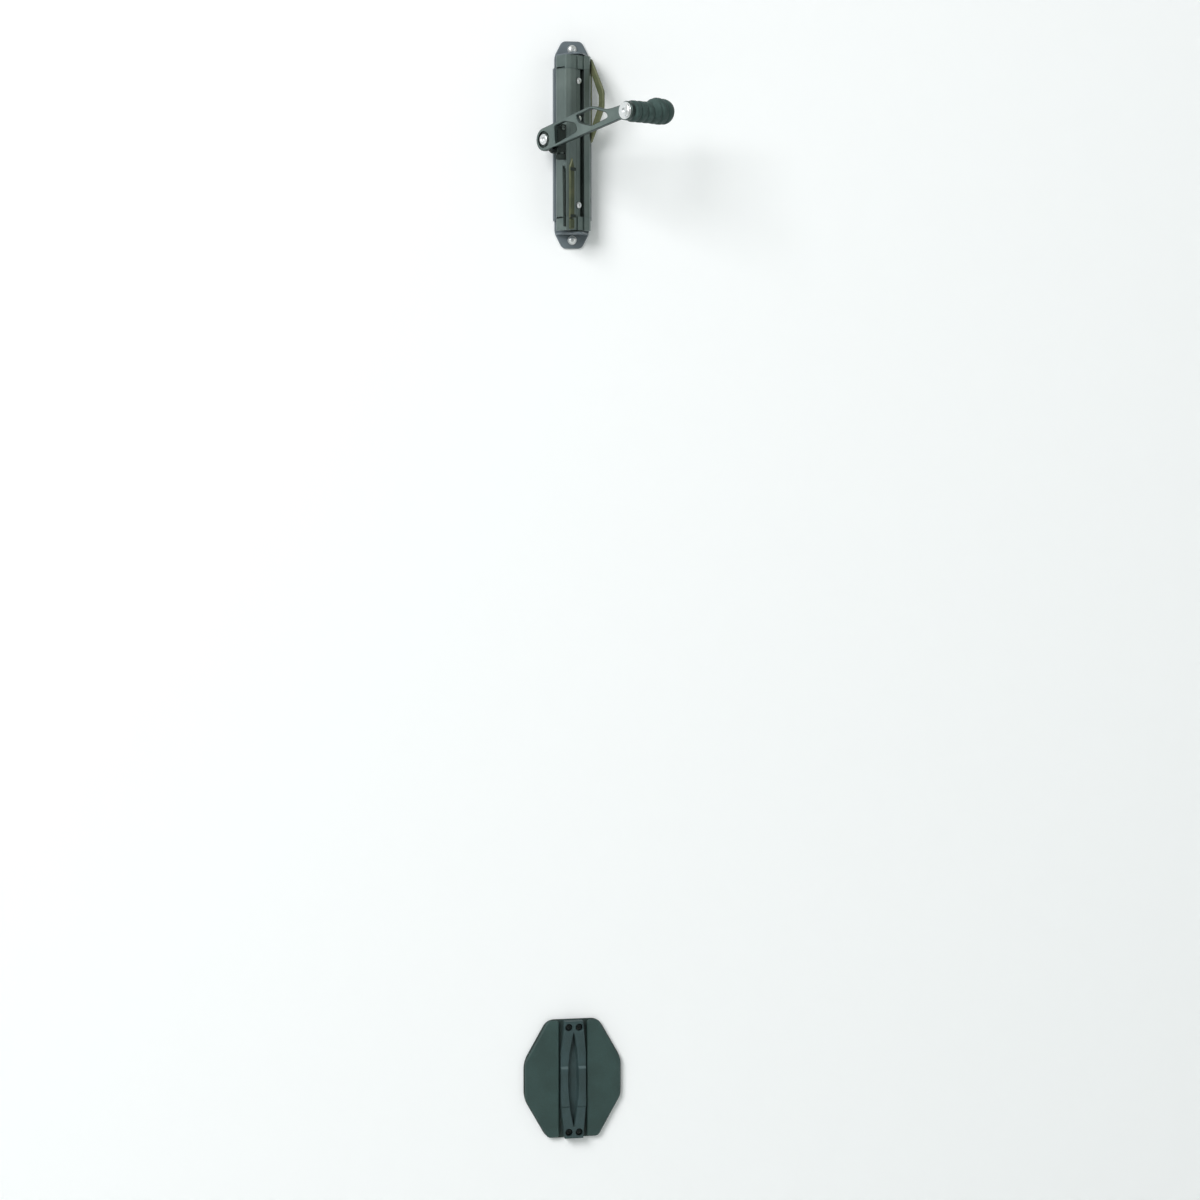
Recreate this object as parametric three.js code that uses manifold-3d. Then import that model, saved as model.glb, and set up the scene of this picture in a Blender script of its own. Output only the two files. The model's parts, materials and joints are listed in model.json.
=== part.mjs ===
// A wall rack in two units: a hook arm on a swinging column and, a metre below it, a cradle plate.
// Millimetres, +Z up. The wall is the plane Y = 0, and the rack stands out from it towards -Y.
// The origin is the middle of the upper wall plate's back face.
// A swinging piece is drawn in the column's own frame: X across its front, -Y ahead of the pins.

import * as THREE from "three";
import Module from "manifold-3d";
import { mergeVertices } from "three/addons/utils/BufferGeometryUtils.js";

const wasm = await Module();
wasm.setup();

// Fits shared by every piece
const seatGap = 0.3;
const runningGap = 0.25;
const overrun = 2;
const edgeBevel = 0.7;
const mergeTolerance = 0.0003;

// Wall plate with a trapezoid tab at each end
const plateWidth = 39.6;
const plateHeight = 232;
const plateThickness = 3;
const tabHeight = 17;
const tabTopWidth = 22;
const tabCornerRadius = 4.5;
const flangeReach = 8;
const flangeThickness = 2.4;
const flangeStep = 1.6;
const flangeLength = 170;
const tabScrewInset = 9.4;

// Pivot ears, pins and bearings
const axisOut = 29;
const earThickness = 2.2;
const earNoseRadius = 7.6;
const earRootWidth = 38;
const tongueWidth = 22;
const pinRadius = 3.5;
const pinLength = 15;
const bushWall = 1.2;
const bushLength = 11;
const washerRadius = 7;
const washerThickness = 1;

// Swinging column
const columnInset = 19;
const columnHeight = plateHeight - 2 * columnInset;
const columnHalfWidth = 18.7;
const frontReach = 6.5;
const rearReach = 19.3;
const lipInner = 6.2;
const cornerChamfer = 4.5;
const cornerChamferDepth = 3.1;
const sideStepBack = 7;
const sideStepIn = 0.9;
const rearHalfWidth = 13;
const rearCornerBack = 13.5;
const landHalfWidth = 3.4;
const landBack = 1.2;
const slotBottomBack = 3;
const capSlotDepth = 1.9;
const capLandDepth = 0.5;
const capHeight = 15;
const capSlitBottom = 0.5;
const capSlitTop = 2;
const capSlitFront = 1;
const capSlitDepth = 5;
const boreRadius = 5.6;
const boreBack = 10.5;
const spigotLength = 6;
const spigotGap = 0.5;
const restSwing = 31.5;

// Strip in the column's channel, and its screws
const stripThickness = 1.7;
const stripHalfWidth = 3;
const stripScrewInset = 28;
const stripScrewMiddle = 27;
const stripScrewRadius = 3.6;
const stripScrewHeadHeight = 1.8;
const stripScrewShankRadius = 1.6;
const stripScrewReach = 2.6;

// Guard plate on the right side
const guardThickness = 3.2;
const guardInset = 1.6;
const guardHeight = 94.6;
const guardReach = 23.4;
const guardFlatHalf = 9.6;
const guardStripWidth = 7.6;
const guardBaseBack = 11;
const guardBaseFront = 2.6;
const guardCornerRadius = 3;
const guardScrewRadius = 3.2;
const guardScrewInset = 9;

// Rest bar, its bands and foot, and the tapered bracket beside it
const barWidth = 7.8;
const barThickness = 3.4;
const barBevel = 1.4;
const barInner = 11;
const barInset = 0.5;
const barLength = 69.5;
const barPoint = 10;
const collarHeight = 3.4;
const collarOverlap = 1.1;
const collarDrop = 3;
const collarRise = 0.9;
const footHeight = 12;
const footCornerRadius = 2.2;
const bracketThickness = 1.6;
const bracketRise = 3;
const bracketDrop = 6.1;
const bracketFront = 3.2;
const bracketFootWidth = 2.4;
const bracketTopWidth = 3.8;
const bracketPoint = 8;

// Carrier that joins the hook arm to the column
const armGapInner = 32.5;
const carrierFront = 4.3;
const carrierBack = 20;
const carrierBackHalf = 5;
const carrierShoulder = 7;
const carrierTop = 20.5;
const carrierTopDrop = 4;
const carrierBottom = -13;
const carrierCornerRadius = 3;
const carrierScrewRadius = 2.6;
const carrierScrewDrop = 4.9;
const carrierBoltRadius = 3.6;
const carrierBoltHeadHeight = 2.2;
const carrierBoltInset = 7;
const carrierBoltAhead = 2;
const carrierBoltBehind = 6;

// Hook arm, a flat truss that stands on edge
const armPivotBack = 12.5;
const armPivotHeight = 2.8;
const armReach = 132.7;
const armRise = 22.6;
const armThickness = 5.5;
const armHeelRadius = 12.8;
const armBossRadius = 10.6;
const armBevel = 0.8;
const armTopShares = [[0.585, 1.43], [0.77, 1.14]];
const armTopRadius = 9;
const armHeelTurnShare = 0.6;
const armBossTurnShare = 0.78;
const armCutRadius = 3.6;
const rearCutShares = [[0.128, 0.6], [0.25, 0.79], [0.395, 0.63], [0.415, 0.25], [0.135, -0.27]];
const frontCutShares = [
  [0.39, 1.0], [0.585, 1.28], [0.765, 1.0],
  [0.785, 0.77], [0.59, 0.45], [0.44, 0.65],
];
const armRecessRadius = 9.4;
const armRecessDepth = 2.4;

// Bolt that the arm folds on, and the pin that stops the arm
const boltShankRadius = 4;
const boltHeadRadius = 6;
const boltHeadHeight = 3.6;
const hexAcross = 5;
const hexDepth = 2.4;
const ringWidth = 1.8;
const ringHeight = 1.2;
const stopPinRadius = 2.4;
const stopPinAhead = 1;
const armUndersideSlope = 12.6;

// Spring plunger under the carrier
const plungerInset = 7.9;
const plungerAhead = 0.7;
const plungerBoreRadius = 3.6;
const plungerPinRadius = 2;
const plungerShoulderRadius = 3.2;
const plungerShoulderHeight = 2;
const plungerTop = 3;
const knobRadius = 5.3;
const knobHeight = 6.4;
const knobGrooves = 12;
const knobGrooveRadius = 0.7;
const springRadius = 2.9;
const springWire = 0.7;
const springTurns = 5;

// Hook: steel core, ribbed sleeve and the screw that holds them
const coreRadius = 6;
const coreTipAcross = 17;
const sleeveLength = 59.5;
const shankRadius = 10.8;
const tipRadius = 13.6;
const tipLift = 2.4;
const tipRoundLength = 10;
const tipRoundRadius = 8;
const rampStartShare = 0.52;
const rampEndShare = 0.68;
const sleeveRibs = 6;
const ribHeight = 0.8;
const ribBow = 4;
const ringsPerRib = 4;
const sleeveSides = 24;
const hookScrewRadius = 7.6;
const hookScrewDome = 2.6;
const hookShankRadius = 3.2;
const hookWasherRadius = 9.3;
const hookWasherThickness = 1.3;

// Wall screws and washers
const wallScrewRadius = 4.3;
const wallScrewDome = 2.4;
const wallScrewShankRadius = 2.4;
const wallWasherRadius = 5.2;
const wallWasherThickness = 1;
const screwFaces = 20;
const recessWidth = 1.1;
const recessDepth = 1.1;
const headRimShare = 0.33;
const headCrownShares = [[0.86, 0.66], [0.55, 0.93]];

// Lower plate
const unitSpacing = 1066;
const backWidth = 114;
const backHeight = 138;
const backThickness = 2.6;
const backSideHeight = 43;
const backTopWidth = 60;
const backCornerRadius = 9;
const wingThickness = 4.2;
const wingInner = 16;
const wingInset = 1;
const wingBevel = 1.2;
const wingCornerRadius = 4;
const cradleHalfWidth = 14.6;
const cradleEndHalfWidth = 10.6;
const cradleMiddleOut = 8.8;
const cradleBandOut = 10;
const cradleEndOut = 13.6;
const cradleBandHalf = 13;
const cradleStepHalf = 31;
const cradleEndInset = 1;
const grooveHalfWidth = 6.4;
const grooveEndInset = 13;
const grooveDepth = 5.4;
const cradleScrewAcross = 6;
const cradleScrewInset = 8;
const cradleScrewRadius = 4;
const cradleScrewSunk = 1.6;
const cradleScrewHead = 2;

const degrees = Math.PI / 180;

const finishes = {
  column: new THREE.MeshStandardMaterial({ color: 0x6c7c7c, roughness: 0.42, metalness: 0.6 }),
  powder: new THREE.MeshStandardMaterial({ color: 0x6b7078, roughness: 0.55, metalness: 0.3 }),
  passivated: new THREE.MeshStandardMaterial({ color: 0x5f6945, roughness: 0.4, metalness: 0.6 }),
  dark: new THREE.MeshStandardMaterial({ color: 0x26302c, roughness: 0.6, metalness: 0.2 }),
  steel: new THREE.MeshStandardMaterial({ color: 0xd8dcde, roughness: 0.25, metalness: 1 }),
  rubber: new THREE.MeshStandardMaterial({ color: 0x465552, roughness: 0.8, metalness: 0 }),
  panel: new THREE.MeshStandardMaterial({ color: 0x4b5a58, roughness: 0.7, metalness: 0 }),
  bearing: new THREE.MeshStandardMaterial({ color: 0xcfd0c8, roughness: 0.5, metalness: 0 }),
};

// Joins and cuts of closed meshes
function solidOf(geometry) {
  const bare = geometry.clone();
  bare.deleteAttribute("normal");
  bare.deleteAttribute("uv");
  const merged = mergeVertices(bare, mergeTolerance);
  const vertProperties = new Float32Array(merged.attributes.position.array);
  const triVerts = new Uint32Array(merged.index.array);
  return new wasm.Manifold(new wasm.Mesh({ numProp: 3, vertProperties, triVerts }));
}

function geometryOf(solid) {
  const mesh = solid.getMesh();
  const geometry = new THREE.BufferGeometry();
  const places = new Float32Array(mesh.vertProperties);
  geometry.setAttribute("position", new THREE.BufferAttribute(places, 3));
  geometry.setIndex(new THREE.BufferAttribute(new Uint32Array(mesh.triVerts), 1));
  return geometry;
}

function join(...geometries) {
  return geometryOf(geometries.map(solidOf).reduce((all, next) => all.add(next)));
}

function cut(geometry, ...tools) {
  return geometryOf(tools.map(solidOf).reduce((rest, tool) => rest.subtract(tool), solidOf(geometry)));
}

// Outlines and basic solids
function roundedOutline(points, radius, path = new THREE.Shape()) {
  points.forEach(([x, y], i) => {
    const [ax, ay] = points[(i + points.length - 1) % points.length];
    const [bx, by] = points[(i + 1) % points.length];
    const before = Math.hypot(ax - x, ay - y);
    const after = Math.hypot(bx - x, by - y);
    const back = Math.min(radius, before / 2) / before;
    const on = Math.min(radius, after / 2) / after;
    const start = [x + (ax - x) * back, y + (ay - y) * back];
    if (i === 0) {
      path.moveTo(...start);
    } else {
      path.lineTo(...start);
    }
    path.quadraticCurveTo(x, y, x + (bx - x) * on, y + (by - y) * on);
  });
  path.closePath();
  return path;
}

function polygon(points) {
  return new THREE.Shape(points.map(([x, y]) => new THREE.Vector2(x, y)));
}

function slab(shape, thickness, bevel = 0, curveSegments = 6) {
  return new THREE.ExtrudeGeometry(shape, {
    depth: thickness - 2 * bevel,
    bevelEnabled: bevel > 0,
    bevelThickness: bevel,
    bevelSize: bevel,
    bevelOffset: -bevel,
    bevelSegments: 1,
    curveSegments,
  }).translate(0, 0, bevel);
}

function block(x0, x1, y0, y1, z0, z1) {
  const box = new THREE.BoxGeometry(x1 - x0, y1 - y0, z1 - z0);
  return box.translate((x0 + x1) / 2, (y0 + y1) / 2, (z0 + z1) / 2);
}

function rod(radius, from, to, sides = screwFaces) {
  const points = [[0, from], [radius, from], [radius, to], [0, to]];
  return new THREE.LatheGeometry(points.map(([x, y]) => new THREE.Vector2(x, y)), sides);
}

function ring(inner, outer, from, to, sides = screwFaces) {
  const points = [[inner, from], [outer, from], [outer, to], [inner, to], [inner, from]];
  return new THREE.LatheGeometry(points.map(([x, y]) => new THREE.Vector2(x, y)), sides);
}

// A screw along +Y with its head on top: domed head from 0 up, shank from 0 down
function screw(headRadius, dome, shankRadius, shankLength) {
  const crown = headCrownShares.map(([out, up]) => [headRadius * out, dome * up]);
  const profile = [
    [0, -shankLength], [shankRadius, -shankLength], [shankRadius, 0], [headRadius, 0],
    [headRadius, dome * headRimShare], ...crown, [0, dome],
  ];
  const body = new THREE.LatheGeometry(profile.map(([x, y]) => new THREE.Vector2(x, y)), screwFaces);
  const half = headRadius / 2;
  const wide = recessWidth / 2;
  const floor = dome - Math.min(recessDepth, dome / 2);
  const along = block(-half, half, floor, dome + overrun, -wide, wide);
  const across = block(-wide, wide, floor, dome + overrun, -half, half);
  return cut(body, join(along, across));
}

// Ways to turn what is drawn flat or along +Y
const upright = (geometry) => geometry.rotateX(Math.PI / 2);
const sideways = (geometry) => {
  const turn = new THREE.Matrix4();
  const ahead = new THREE.Vector3(0, -1, 0);
  const up = new THREE.Vector3(0, 0, 1);
  turn.makeBasis(ahead, up, new THREE.Vector3(-1, 0, 0));
  return geometry.applyMatrix4(turn);
};
const forward = (geometry) => geometry.rotateX(Math.PI);
const leftward = (geometry) => geometry.rotateZ(Math.PI / 2);
const rightward = (geometry) => geometry.rotateZ(-Math.PI / 2);

const rack = new THREE.Group();
const swivel = new THREE.Group();
swivel.position.y = -axisOut;
swivel.rotation.z = restSwing * degrees;
const arm = new THREE.Group();
arm.position.set(0, armPivotBack, armPivotHeight);
swivel.add(arm);
const lower = new THREE.Group();
lower.position.z = -unitSpacing;
rack.add(swivel, lower);

function add(name, geometry, finish, group = rack, x = 0, y = 0, z = 0) {
  const mesh = new THREE.Mesh(geometry, finish.clone());
  mesh.name = name;
  mesh.position.set(x, y, z);
  group.add(mesh);
  return mesh;
}

// Wall plate: side flanges stiffen it, and a slot at each end takes an ear's tongue
const columnTop = columnHeight / 2;
const earInner = columnTop + 2 * seatGap + washerThickness;
const tabScrewZ = plateHeight / 2 - tabScrewInset;

function tabbedOutline() {
  const half = plateWidth / 2;
  const top = plateHeight / 2;
  const base = top - tabHeight;
  const narrow = tabTopWidth / 2;
  const right = [[half, -base], [half, base], [narrow, top]];
  const left = [[-narrow, top], [-half, base], [-half, -base], [-narrow, -top], [narrow, -top]];
  return roundedOutline([...right, ...left], tabCornerRadius);
}

function wallPlate() {
  const outline = tabbedOutline();
  for (const z of [tabScrewZ, -tabScrewZ]) {
    const hole = new THREE.Path();
    hole.absarc(0, z, wallScrewShankRadius + runningGap, 0, 2 * Math.PI, true);
    outline.holes.push(hole);
  }
  const sheet = upright(slab(outline, plateThickness, edgeBevel));
  const edge = plateWidth / 2 + flangeStep;
  const flange = (side) => {
    const near = side * (edge - flangeThickness);
    const far = side * edge;
    const [x0, x1] = [Math.min(near, far), Math.max(near, far)];
    return block(x0, x1, -flangeReach, 0, -flangeLength / 2, flangeLength / 2);
  };
  const slots = [1, -1].map((side) => {
    const middle = side * (earInner + earThickness / 2);
    const halfHeight = earThickness / 2 + runningGap;
    const halfWidth = tongueWidth / 2 + runningGap;
    const depth = plateThickness + overrun;
    return block(-halfWidth, halfWidth, -depth, overrun, middle - halfHeight, middle + halfHeight);
  });
  return cut(join(sheet, flange(1), flange(-1)), ...slots);
}
add("wall_plate", wallPlate(), finishes.powder);

// Ears: a tongue through the plate, a tapered body and a round nose with the pin's hole
function ear() {
  const root = plateThickness + seatGap;
  const tongue = tongueWidth / 2;
  const half = earRootWidth / 2;
  const shape = new THREE.Shape();
  shape.moveTo(tongue, -seatGap);
  shape.lineTo(-tongue, -seatGap);
  shape.lineTo(-tongue, -root);
  shape.lineTo(-half, -root);
  shape.lineTo(-earNoseRadius, -axisOut);
  shape.absarc(0, -axisOut, earNoseRadius, Math.PI, 2 * Math.PI, false);
  shape.lineTo(half, -root);
  shape.lineTo(tongue, -root);
  shape.closePath();
  const hole = new THREE.Path();
  hole.absarc(0, -axisOut, pinRadius + runningGap, 0, 2 * Math.PI, true);
  shape.holes.push(hole);
  return slab(shape, earThickness, 0, 8);
}
add("upper_ear", ear(), finishes.powder, rack, 0, 0, earInner);
add("lower_ear", ear(), finishes.powder, rack, 0, 0, -earInner - earThickness);

// Pins: flush with the ears' outer faces, and reaching into the caps
const pinOuter = earInner + earThickness;
const pin = upright(rod(pinRadius, 0, pinLength));
add("upper_pivot_pin", pin.clone(), finishes.powder, rack, 0, -axisOut, pinOuter - pinLength);
add("lower_pivot_pin", pin.clone(), finishes.powder, rack, 0, -axisOut, -pinOuter);
const washer = upright(ring(pinRadius + runningGap, washerRadius, 0, washerThickness));
const washerBottom = -columnTop - seatGap - washerThickness;
add("thrust_washer", washer, finishes.dark, rack, 0, -axisOut, washerBottom);

for (const [name, z] of [["upper", tabScrewZ], ["lower", -tabScrewZ]]) {
  const under = plateThickness + seatGap;
  const disc = ring(wallScrewShankRadius + runningGap, wallWasherRadius, 0, wallWasherThickness);
  add(`wall_washer_${name}`, forward(disc), finishes.steel, rack, 0, -under, z);
  const seat = under + wallWasherThickness + seatGap;
  const body = screw(wallScrewRadius, wallScrewDome, wallScrewShankRadius, seat);
  add(`wall_screw_${name}`, forward(body), finishes.steel, rack, 0, -seat, z);
}

// Column section: two lips with a channel between them, seen from above with the front at -Y
function columnHalf(slotBottom, land) {
  return [
    [0, -land], [landHalfWidth, -land], [landHalfWidth, slotBottom], [lipInner, slotBottom],
    [lipInner, -frontReach], [columnHalfWidth - cornerChamfer, -frontReach],
    [columnHalfWidth, -frontReach + cornerChamferDepth], [columnHalfWidth, sideStepBack],
    [columnHalfWidth - sideStepIn, sideStepBack + sideStepIn],
    [columnHalfWidth - sideStepIn, rearCornerBack], [rearHalfWidth, rearReach],
  ];
}

function columnSection(slotBottom, land) {
  const right = columnHalf(slotBottom, land);
  const left = right.slice(1).reverse().map(([x, y]) => [-x, y]);
  return polygon([...right, ...left]);
}

const bodyHalf = columnTop - capHeight - seatGap / 2;
const stripScrewTop = columnTop - stripScrewInset;
const stripScrewHeights = [stripScrewTop, stripScrewMiddle, -stripScrewTop];

function columnBody() {
  const shape = columnSection(slotBottomBack, landBack);
  const bore = new THREE.Path();
  bore.absarc(0, boreBack, boreRadius, 0, 2 * Math.PI, true);
  shape.holes.push(bore);
  const body = slab(shape, 2 * bodyHalf, 0, 10).translate(0, 0, -bodyHalf);
  const holes = stripScrewHeights.map((z) => {
    const bit = rod(stripScrewShankRadius + runningGap, -frontReach, boreBack, 12);
    return bit.translate(0, 0, z);
  });
  return cut(body, ...holes);
}
add("swivel_column", columnBody(), finishes.column, swivel);

// Caps: the section goes on, with a slit in each side, a bearing bore and a spigot for the column
const bushOuter = pinRadius + runningGap + bushWall;

function cap() {
  const shape = columnSection(-frontReach + capSlotDepth, frontReach - capLandDepth);
  const slitInner = columnHalfWidth - capSlitDepth;
  const slitOuter = columnHalfWidth + overrun;
  const slit = (x0, x1) => block(x0, x1, -capSlitFront, rearCornerBack, capSlitBottom, capSlitTop);
  const floor = capHeight - bushLength - seatGap;
  const bearing = upright(rod(bushOuter + runningGap, floor, capHeight + overrun));
  const plug = upright(rod(boreRadius - spigotGap, -spigotLength, overrun)).translate(0, boreBack, 0);
  const outer = join(slab(shape, capHeight), plug);
  return cut(outer, slit(slitInner, slitOuter), slit(-slitOuter, -slitInner), bearing);
}
add("upper_cap", cap(), finishes.column, swivel, 0, 0, columnTop - capHeight);
add("lower_cap", cap().rotateY(Math.PI), finishes.column, swivel, 0, 0, capHeight - columnTop);

const bush = ring(pinRadius + runningGap, bushOuter, 0, bushLength);
add("upper_bush", upright(bush.clone()), finishes.bearing, swivel, 0, 0, columnTop - bushLength);
add("lower_bush", upright(bush.clone()), finishes.bearing, swivel, 0, 0, -columnTop);

// Strip that lines the channel
const stripBack = landBack + seatGap;
function centreStrip() {
  const front = -stripBack - stripThickness;
  const strip = block(-stripHalfWidth, stripHalfWidth, front, -stripBack, -bodyHalf, bodyHalf);
  const holes = stripScrewHeights.map((z) => {
    const bit = rod(stripScrewShankRadius + runningGap, -frontReach, 0, 12);
    return bit.translate(0, 0, z);
  });
  return cut(strip, ...holes);
}
add("centre_strip", centreStrip(), finishes.column, swivel);
stripScrewHeights.forEach((z, i) => {
  const seat = stripBack + stripThickness + seatGap;
  const length = seat + stripScrewReach;
  const body = forward(screw(stripScrewRadius, stripScrewHeadHeight, stripScrewShankRadius, length));
  add(`strip_screw_${i + 1}`, body, finishes.steel, swivel, 0, -seat, z);
});

// Guard plate: a base strip on the column's side and a bow with a window
const guardInner = columnHalfWidth + seatGap;
const guardTop = columnTop - guardInset;
const guardBottom = guardTop - guardHeight;
const guardMiddle = (guardTop + guardBottom) / 2;

function guardPlate() {
  const outer = [
    [-guardBaseBack, guardBottom], [guardBaseFront, guardBottom],
    [guardReach, guardMiddle - guardFlatHalf], [guardReach, guardMiddle + guardFlatHalf],
    [guardBaseFront, guardTop], [-guardBaseBack, guardTop],
  ];
  const lean = Math.atan2(guardTop - guardMiddle - guardFlatHalf, guardReach - guardBaseFront);
  const legDrop = guardStripWidth / Math.cos(lean);
  const inner = guardReach - guardStripWidth;
  const innerHalf = guardFlatHalf - (guardStripWidth * (1 - Math.cos(lean))) / Math.sin(lean);
  const window = [
    [guardBaseFront, guardBottom + legDrop], [inner, guardMiddle - innerHalf],
    [inner, guardMiddle + innerHalf], [guardBaseFront, guardTop - legDrop],
  ];
  const shape = roundedOutline(outer, guardCornerRadius);
  shape.holes.push(roundedOutline(window, guardCornerRadius / 2, new THREE.Path()));
  for (const z of [guardTop - guardScrewInset, guardBottom + guardScrewInset]) {
    const hole = new THREE.Path();
    hole.absarc(-guardBaseBack / 2, z, stripScrewShankRadius + runningGap, 0, 2 * Math.PI, true);
    shape.holes.push(hole);
  }
  return sideways(slab(shape, guardThickness, edgeBevel, 3)).translate(guardInner + guardThickness, 0, 0);
}
add("guard_plate", guardPlate(), finishes.passivated, swivel);
const guardScrewTop = guardTop - guardScrewInset;
const guardScrewBottom = guardBottom + guardScrewInset;
for (const [name, z] of [["upper", guardScrewTop], ["lower", guardScrewBottom]]) {
  const seat = guardInner + guardThickness + seatGap;
  const head = screw(guardScrewRadius, stripScrewHeadHeight, stripScrewShankRadius, guardThickness);
  const body = rightward(head);
  add(`guard_screw_${name}`, body, finishes.steel, swivel, seat, guardBaseBack / 2, z);
}

// Rest bar on the left lip: a pointed top, two bands across it and a foot
const barBack = frontReach + seatGap;
const barLeft = -barInner - barWidth;
const barMiddle = -barInner - barWidth / 2;
const barBottom = barInset - columnTop;
const barTop = barBottom + barLength;

function restBar() {
  const point = [barMiddle, barTop + barPoint];
  const base = barBottom + footHeight;
  const shape = polygon([
    [barLeft, base], [-barInner, base], [-barInner, barTop], point, [barLeft, barTop],
  ]);
  return upright(slab(shape, barThickness, barBevel)).translate(0, -barBack, 0);
}
add("rest_bar", restBar(), finishes.passivated, swivel);

function collar() {
  const front = -barBack - barThickness - seatGap;
  return block(barLeft, -barInner, front - collarOverlap, front, -collarHeight / 2, collarHeight / 2);
}
const collarLowerZ = barBottom + footHeight + collarRise + collarHeight / 2;
add("collar_upper", collar(), finishes.dark, swivel, 0, 0, barTop - collarDrop);
add("collar_lower", collar(), finishes.dark, swivel, 0, 0, collarLowerZ);

function barFoot() {
  const top = barBottom + footHeight - seatGap;
  const corners = [[barLeft, barBottom], [-barInner, barBottom], [-barInner, top], [barLeft, top]];
  const shape = roundedOutline(corners, footCornerRadius);
  return upright(slab(shape, barThickness, barBevel)).translate(0, -barBack, 0);
}
add("bar_foot", barFoot(), finishes.passivated, swivel);

// Bracket on the left side: it widens upward and ends in a slanted top, clear of the knob's travel
const bracketBottom = barBottom + bracketRise;
const bracketTop = carrierBottom - knobHeight - bracketDrop;

function sideBracket() {
  const shape = roundedOutline([
    [bracketFront - bracketFootWidth, bracketBottom], [bracketFront, bracketBottom],
    [bracketFront, bracketTop - bracketPoint], [bracketFront - bracketTopWidth, bracketTop],
  ], edgeBevel);
  return sideways(slab(shape, bracketThickness)).translate(-columnHalfWidth - seatGap, 0, 0);
}
add("side_bracket", sideBracket(), finishes.dark, swivel);

// Carrier: its back follows the arm's heel, and it is bored for the bolts and the plunger
const carrierInner = columnHalfWidth + seatGap;
const carrierOuter = armGapInner - seatGap;
const carrierScrewZ = carrierTop - carrierScrewDrop;
const plungerX = -carrierOuter + plungerInset;
const carrierBolts = [
  { place: "upper", y: carrierBoltAhead, z: carrierTop - carrierBoltInset },
  { place: "lower", y: carrierBoltBehind, z: carrierBottom + carrierBoltInset },
];

function carrier() {
  const shape = roundedOutline([
    [-carrierBack, armPivotHeight - carrierBackHalf],
    [-carrierBack, armPivotHeight + carrierBackHalf],
    [-carrierShoulder, carrierTop - carrierTopDrop],
    [carrierFront, carrierTop], [carrierFront, carrierBottom], [-carrierShoulder, carrierBottom],
  ], carrierCornerRadius);
  const depth = carrierOuter - carrierInner;
  const body = sideways(slab(shape, depth, edgeBevel)).translate(-carrierInner, 0, 0);
  const [from, to] = [-carrierOuter - overrun, -carrierInner + overrun];
  const bolt = rightward(rod(boltShankRadius + runningGap, from, to));
  bolt.translate(0, armPivotBack, armPivotHeight);
  const plunger = upright(rod(plungerBoreRadius, carrierBottom - overrun, plungerTop, 16));
  plunger.translate(plungerX, -plungerAhead, 0);
  const bores = carrierBolts.map(({ y, z }) => {
    const sink = -carrierOuter + carrierBoltHeadHeight + runningGap;
    const head = rod(carrierBoltRadius + runningGap, from, sink, 12);
    const shank = rod(stripScrewShankRadius + runningGap, from, to, 12);
    return rightward(join(head, shank)).translate(0, y, z);
  });
  const front = rod(stripScrewShankRadius + runningGap, -carrierFront - overrun, 0, 12);
  front.translate(plungerX, 0, carrierScrewZ);
  return cut(body, bolt, plunger, front, ...bores);
}
add("arm_carrier", carrier(), finishes.dark, swivel);

const frontSeat = carrierFront + seatGap;
const frontReachIn = carrierFront - seatGap;
const frontScrew = screw(carrierScrewRadius, stripScrewHeadHeight, stripScrewShankRadius, frontReachIn);
const frontPlace = [plungerX, -frontSeat, carrierScrewZ];
add("carrier_screw", forward(frontScrew), finishes.steel, swivel, ...frontPlace);
carrierBolts.forEach(({ place, y, z }) => {
  const head = rod(carrierBoltRadius, 0, carrierBoltHeadHeight - seatGap, 12);
  const tip = carrierInner + carrierBoltHeadHeight - carrierOuter;
  const shank = rod(stripScrewShankRadius, tip, seatGap, 12);
  const body = leftward(join(head, shank));
  const seat = carrierBoltHeadHeight - carrierOuter;
  add(`carrier_bolt_${place}`, body, finishes.steel, swivel, seat, y, z);
});

// Stop pin under the arm
const stopAlong = (armPivotBack + stopPinAhead) * Math.tan(armUndersideSlope * degrees);
const stopDrop = (armHeelRadius + stopPinRadius + seatGap) / Math.cos(armUndersideSlope * degrees);
const stopPin = leftward(rod(stopPinRadius, 0, armThickness + seatGap, 14));
const stopPlace = [-carrierOuter - seatGap, -stopPinAhead, armPivotHeight + stopAlong - stopDrop];
add("arm_stop_pin", stopPin, finishes.dark, swivel, ...stopPlace);

// Pivot bolt: its head sits in the arm's recess, with a ring round it
const armOuter = armGapInner + armThickness;
const recessFloor = armOuter - armRecessDepth;

function pivotBolt() {
  const head = rod(boltHeadRadius, 0, boltHeadHeight);
  const shank = rod(boltShankRadius, carrierInner - recessFloor, seatGap);
  const socket = new THREE.CylinderGeometry(hexAcross / 2, hexAcross / 2, hexDepth + overrun, 6);
  socket.translate(0, boltHeadHeight - hexDepth + (hexDepth + overrun) / 2, 0);
  return leftward(cut(join(head, shank), socket));
}
const boltPlace = [-recessFloor - seatGap, armPivotBack, armPivotHeight];
add("pivot_bolt", pivotBolt(), finishes.steel, swivel, ...boltPlace);
const bezelInner = boltHeadRadius + seatGap;
const bezel = leftward(ring(bezelInner, bezelInner + ringWidth, 0, ringHeight));
add("pivot_ring", bezel, finishes.dark, swivel, ...boltPlace);

// Plunger: a barrel in the carrier, a pin with a shoulder, its spring and a knurled knob
const plunger = new THREE.Group();
plunger.position.set(plungerX, -plungerAhead, 0);
swivel.add(plunger);
const barrelInner = plungerPinRadius + runningGap;
const barrelBottom = carrierBottom;
const barrelHeight = (plungerBoreRadius - barrelInner) * 2;
const barrel = upright(ring(barrelInner, plungerBoreRadius - runningGap, 0, barrelHeight, 16));
add("plunger_barrel", barrel, finishes.steel, swivel, plungerX, -plungerAhead, barrelBottom);

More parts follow.
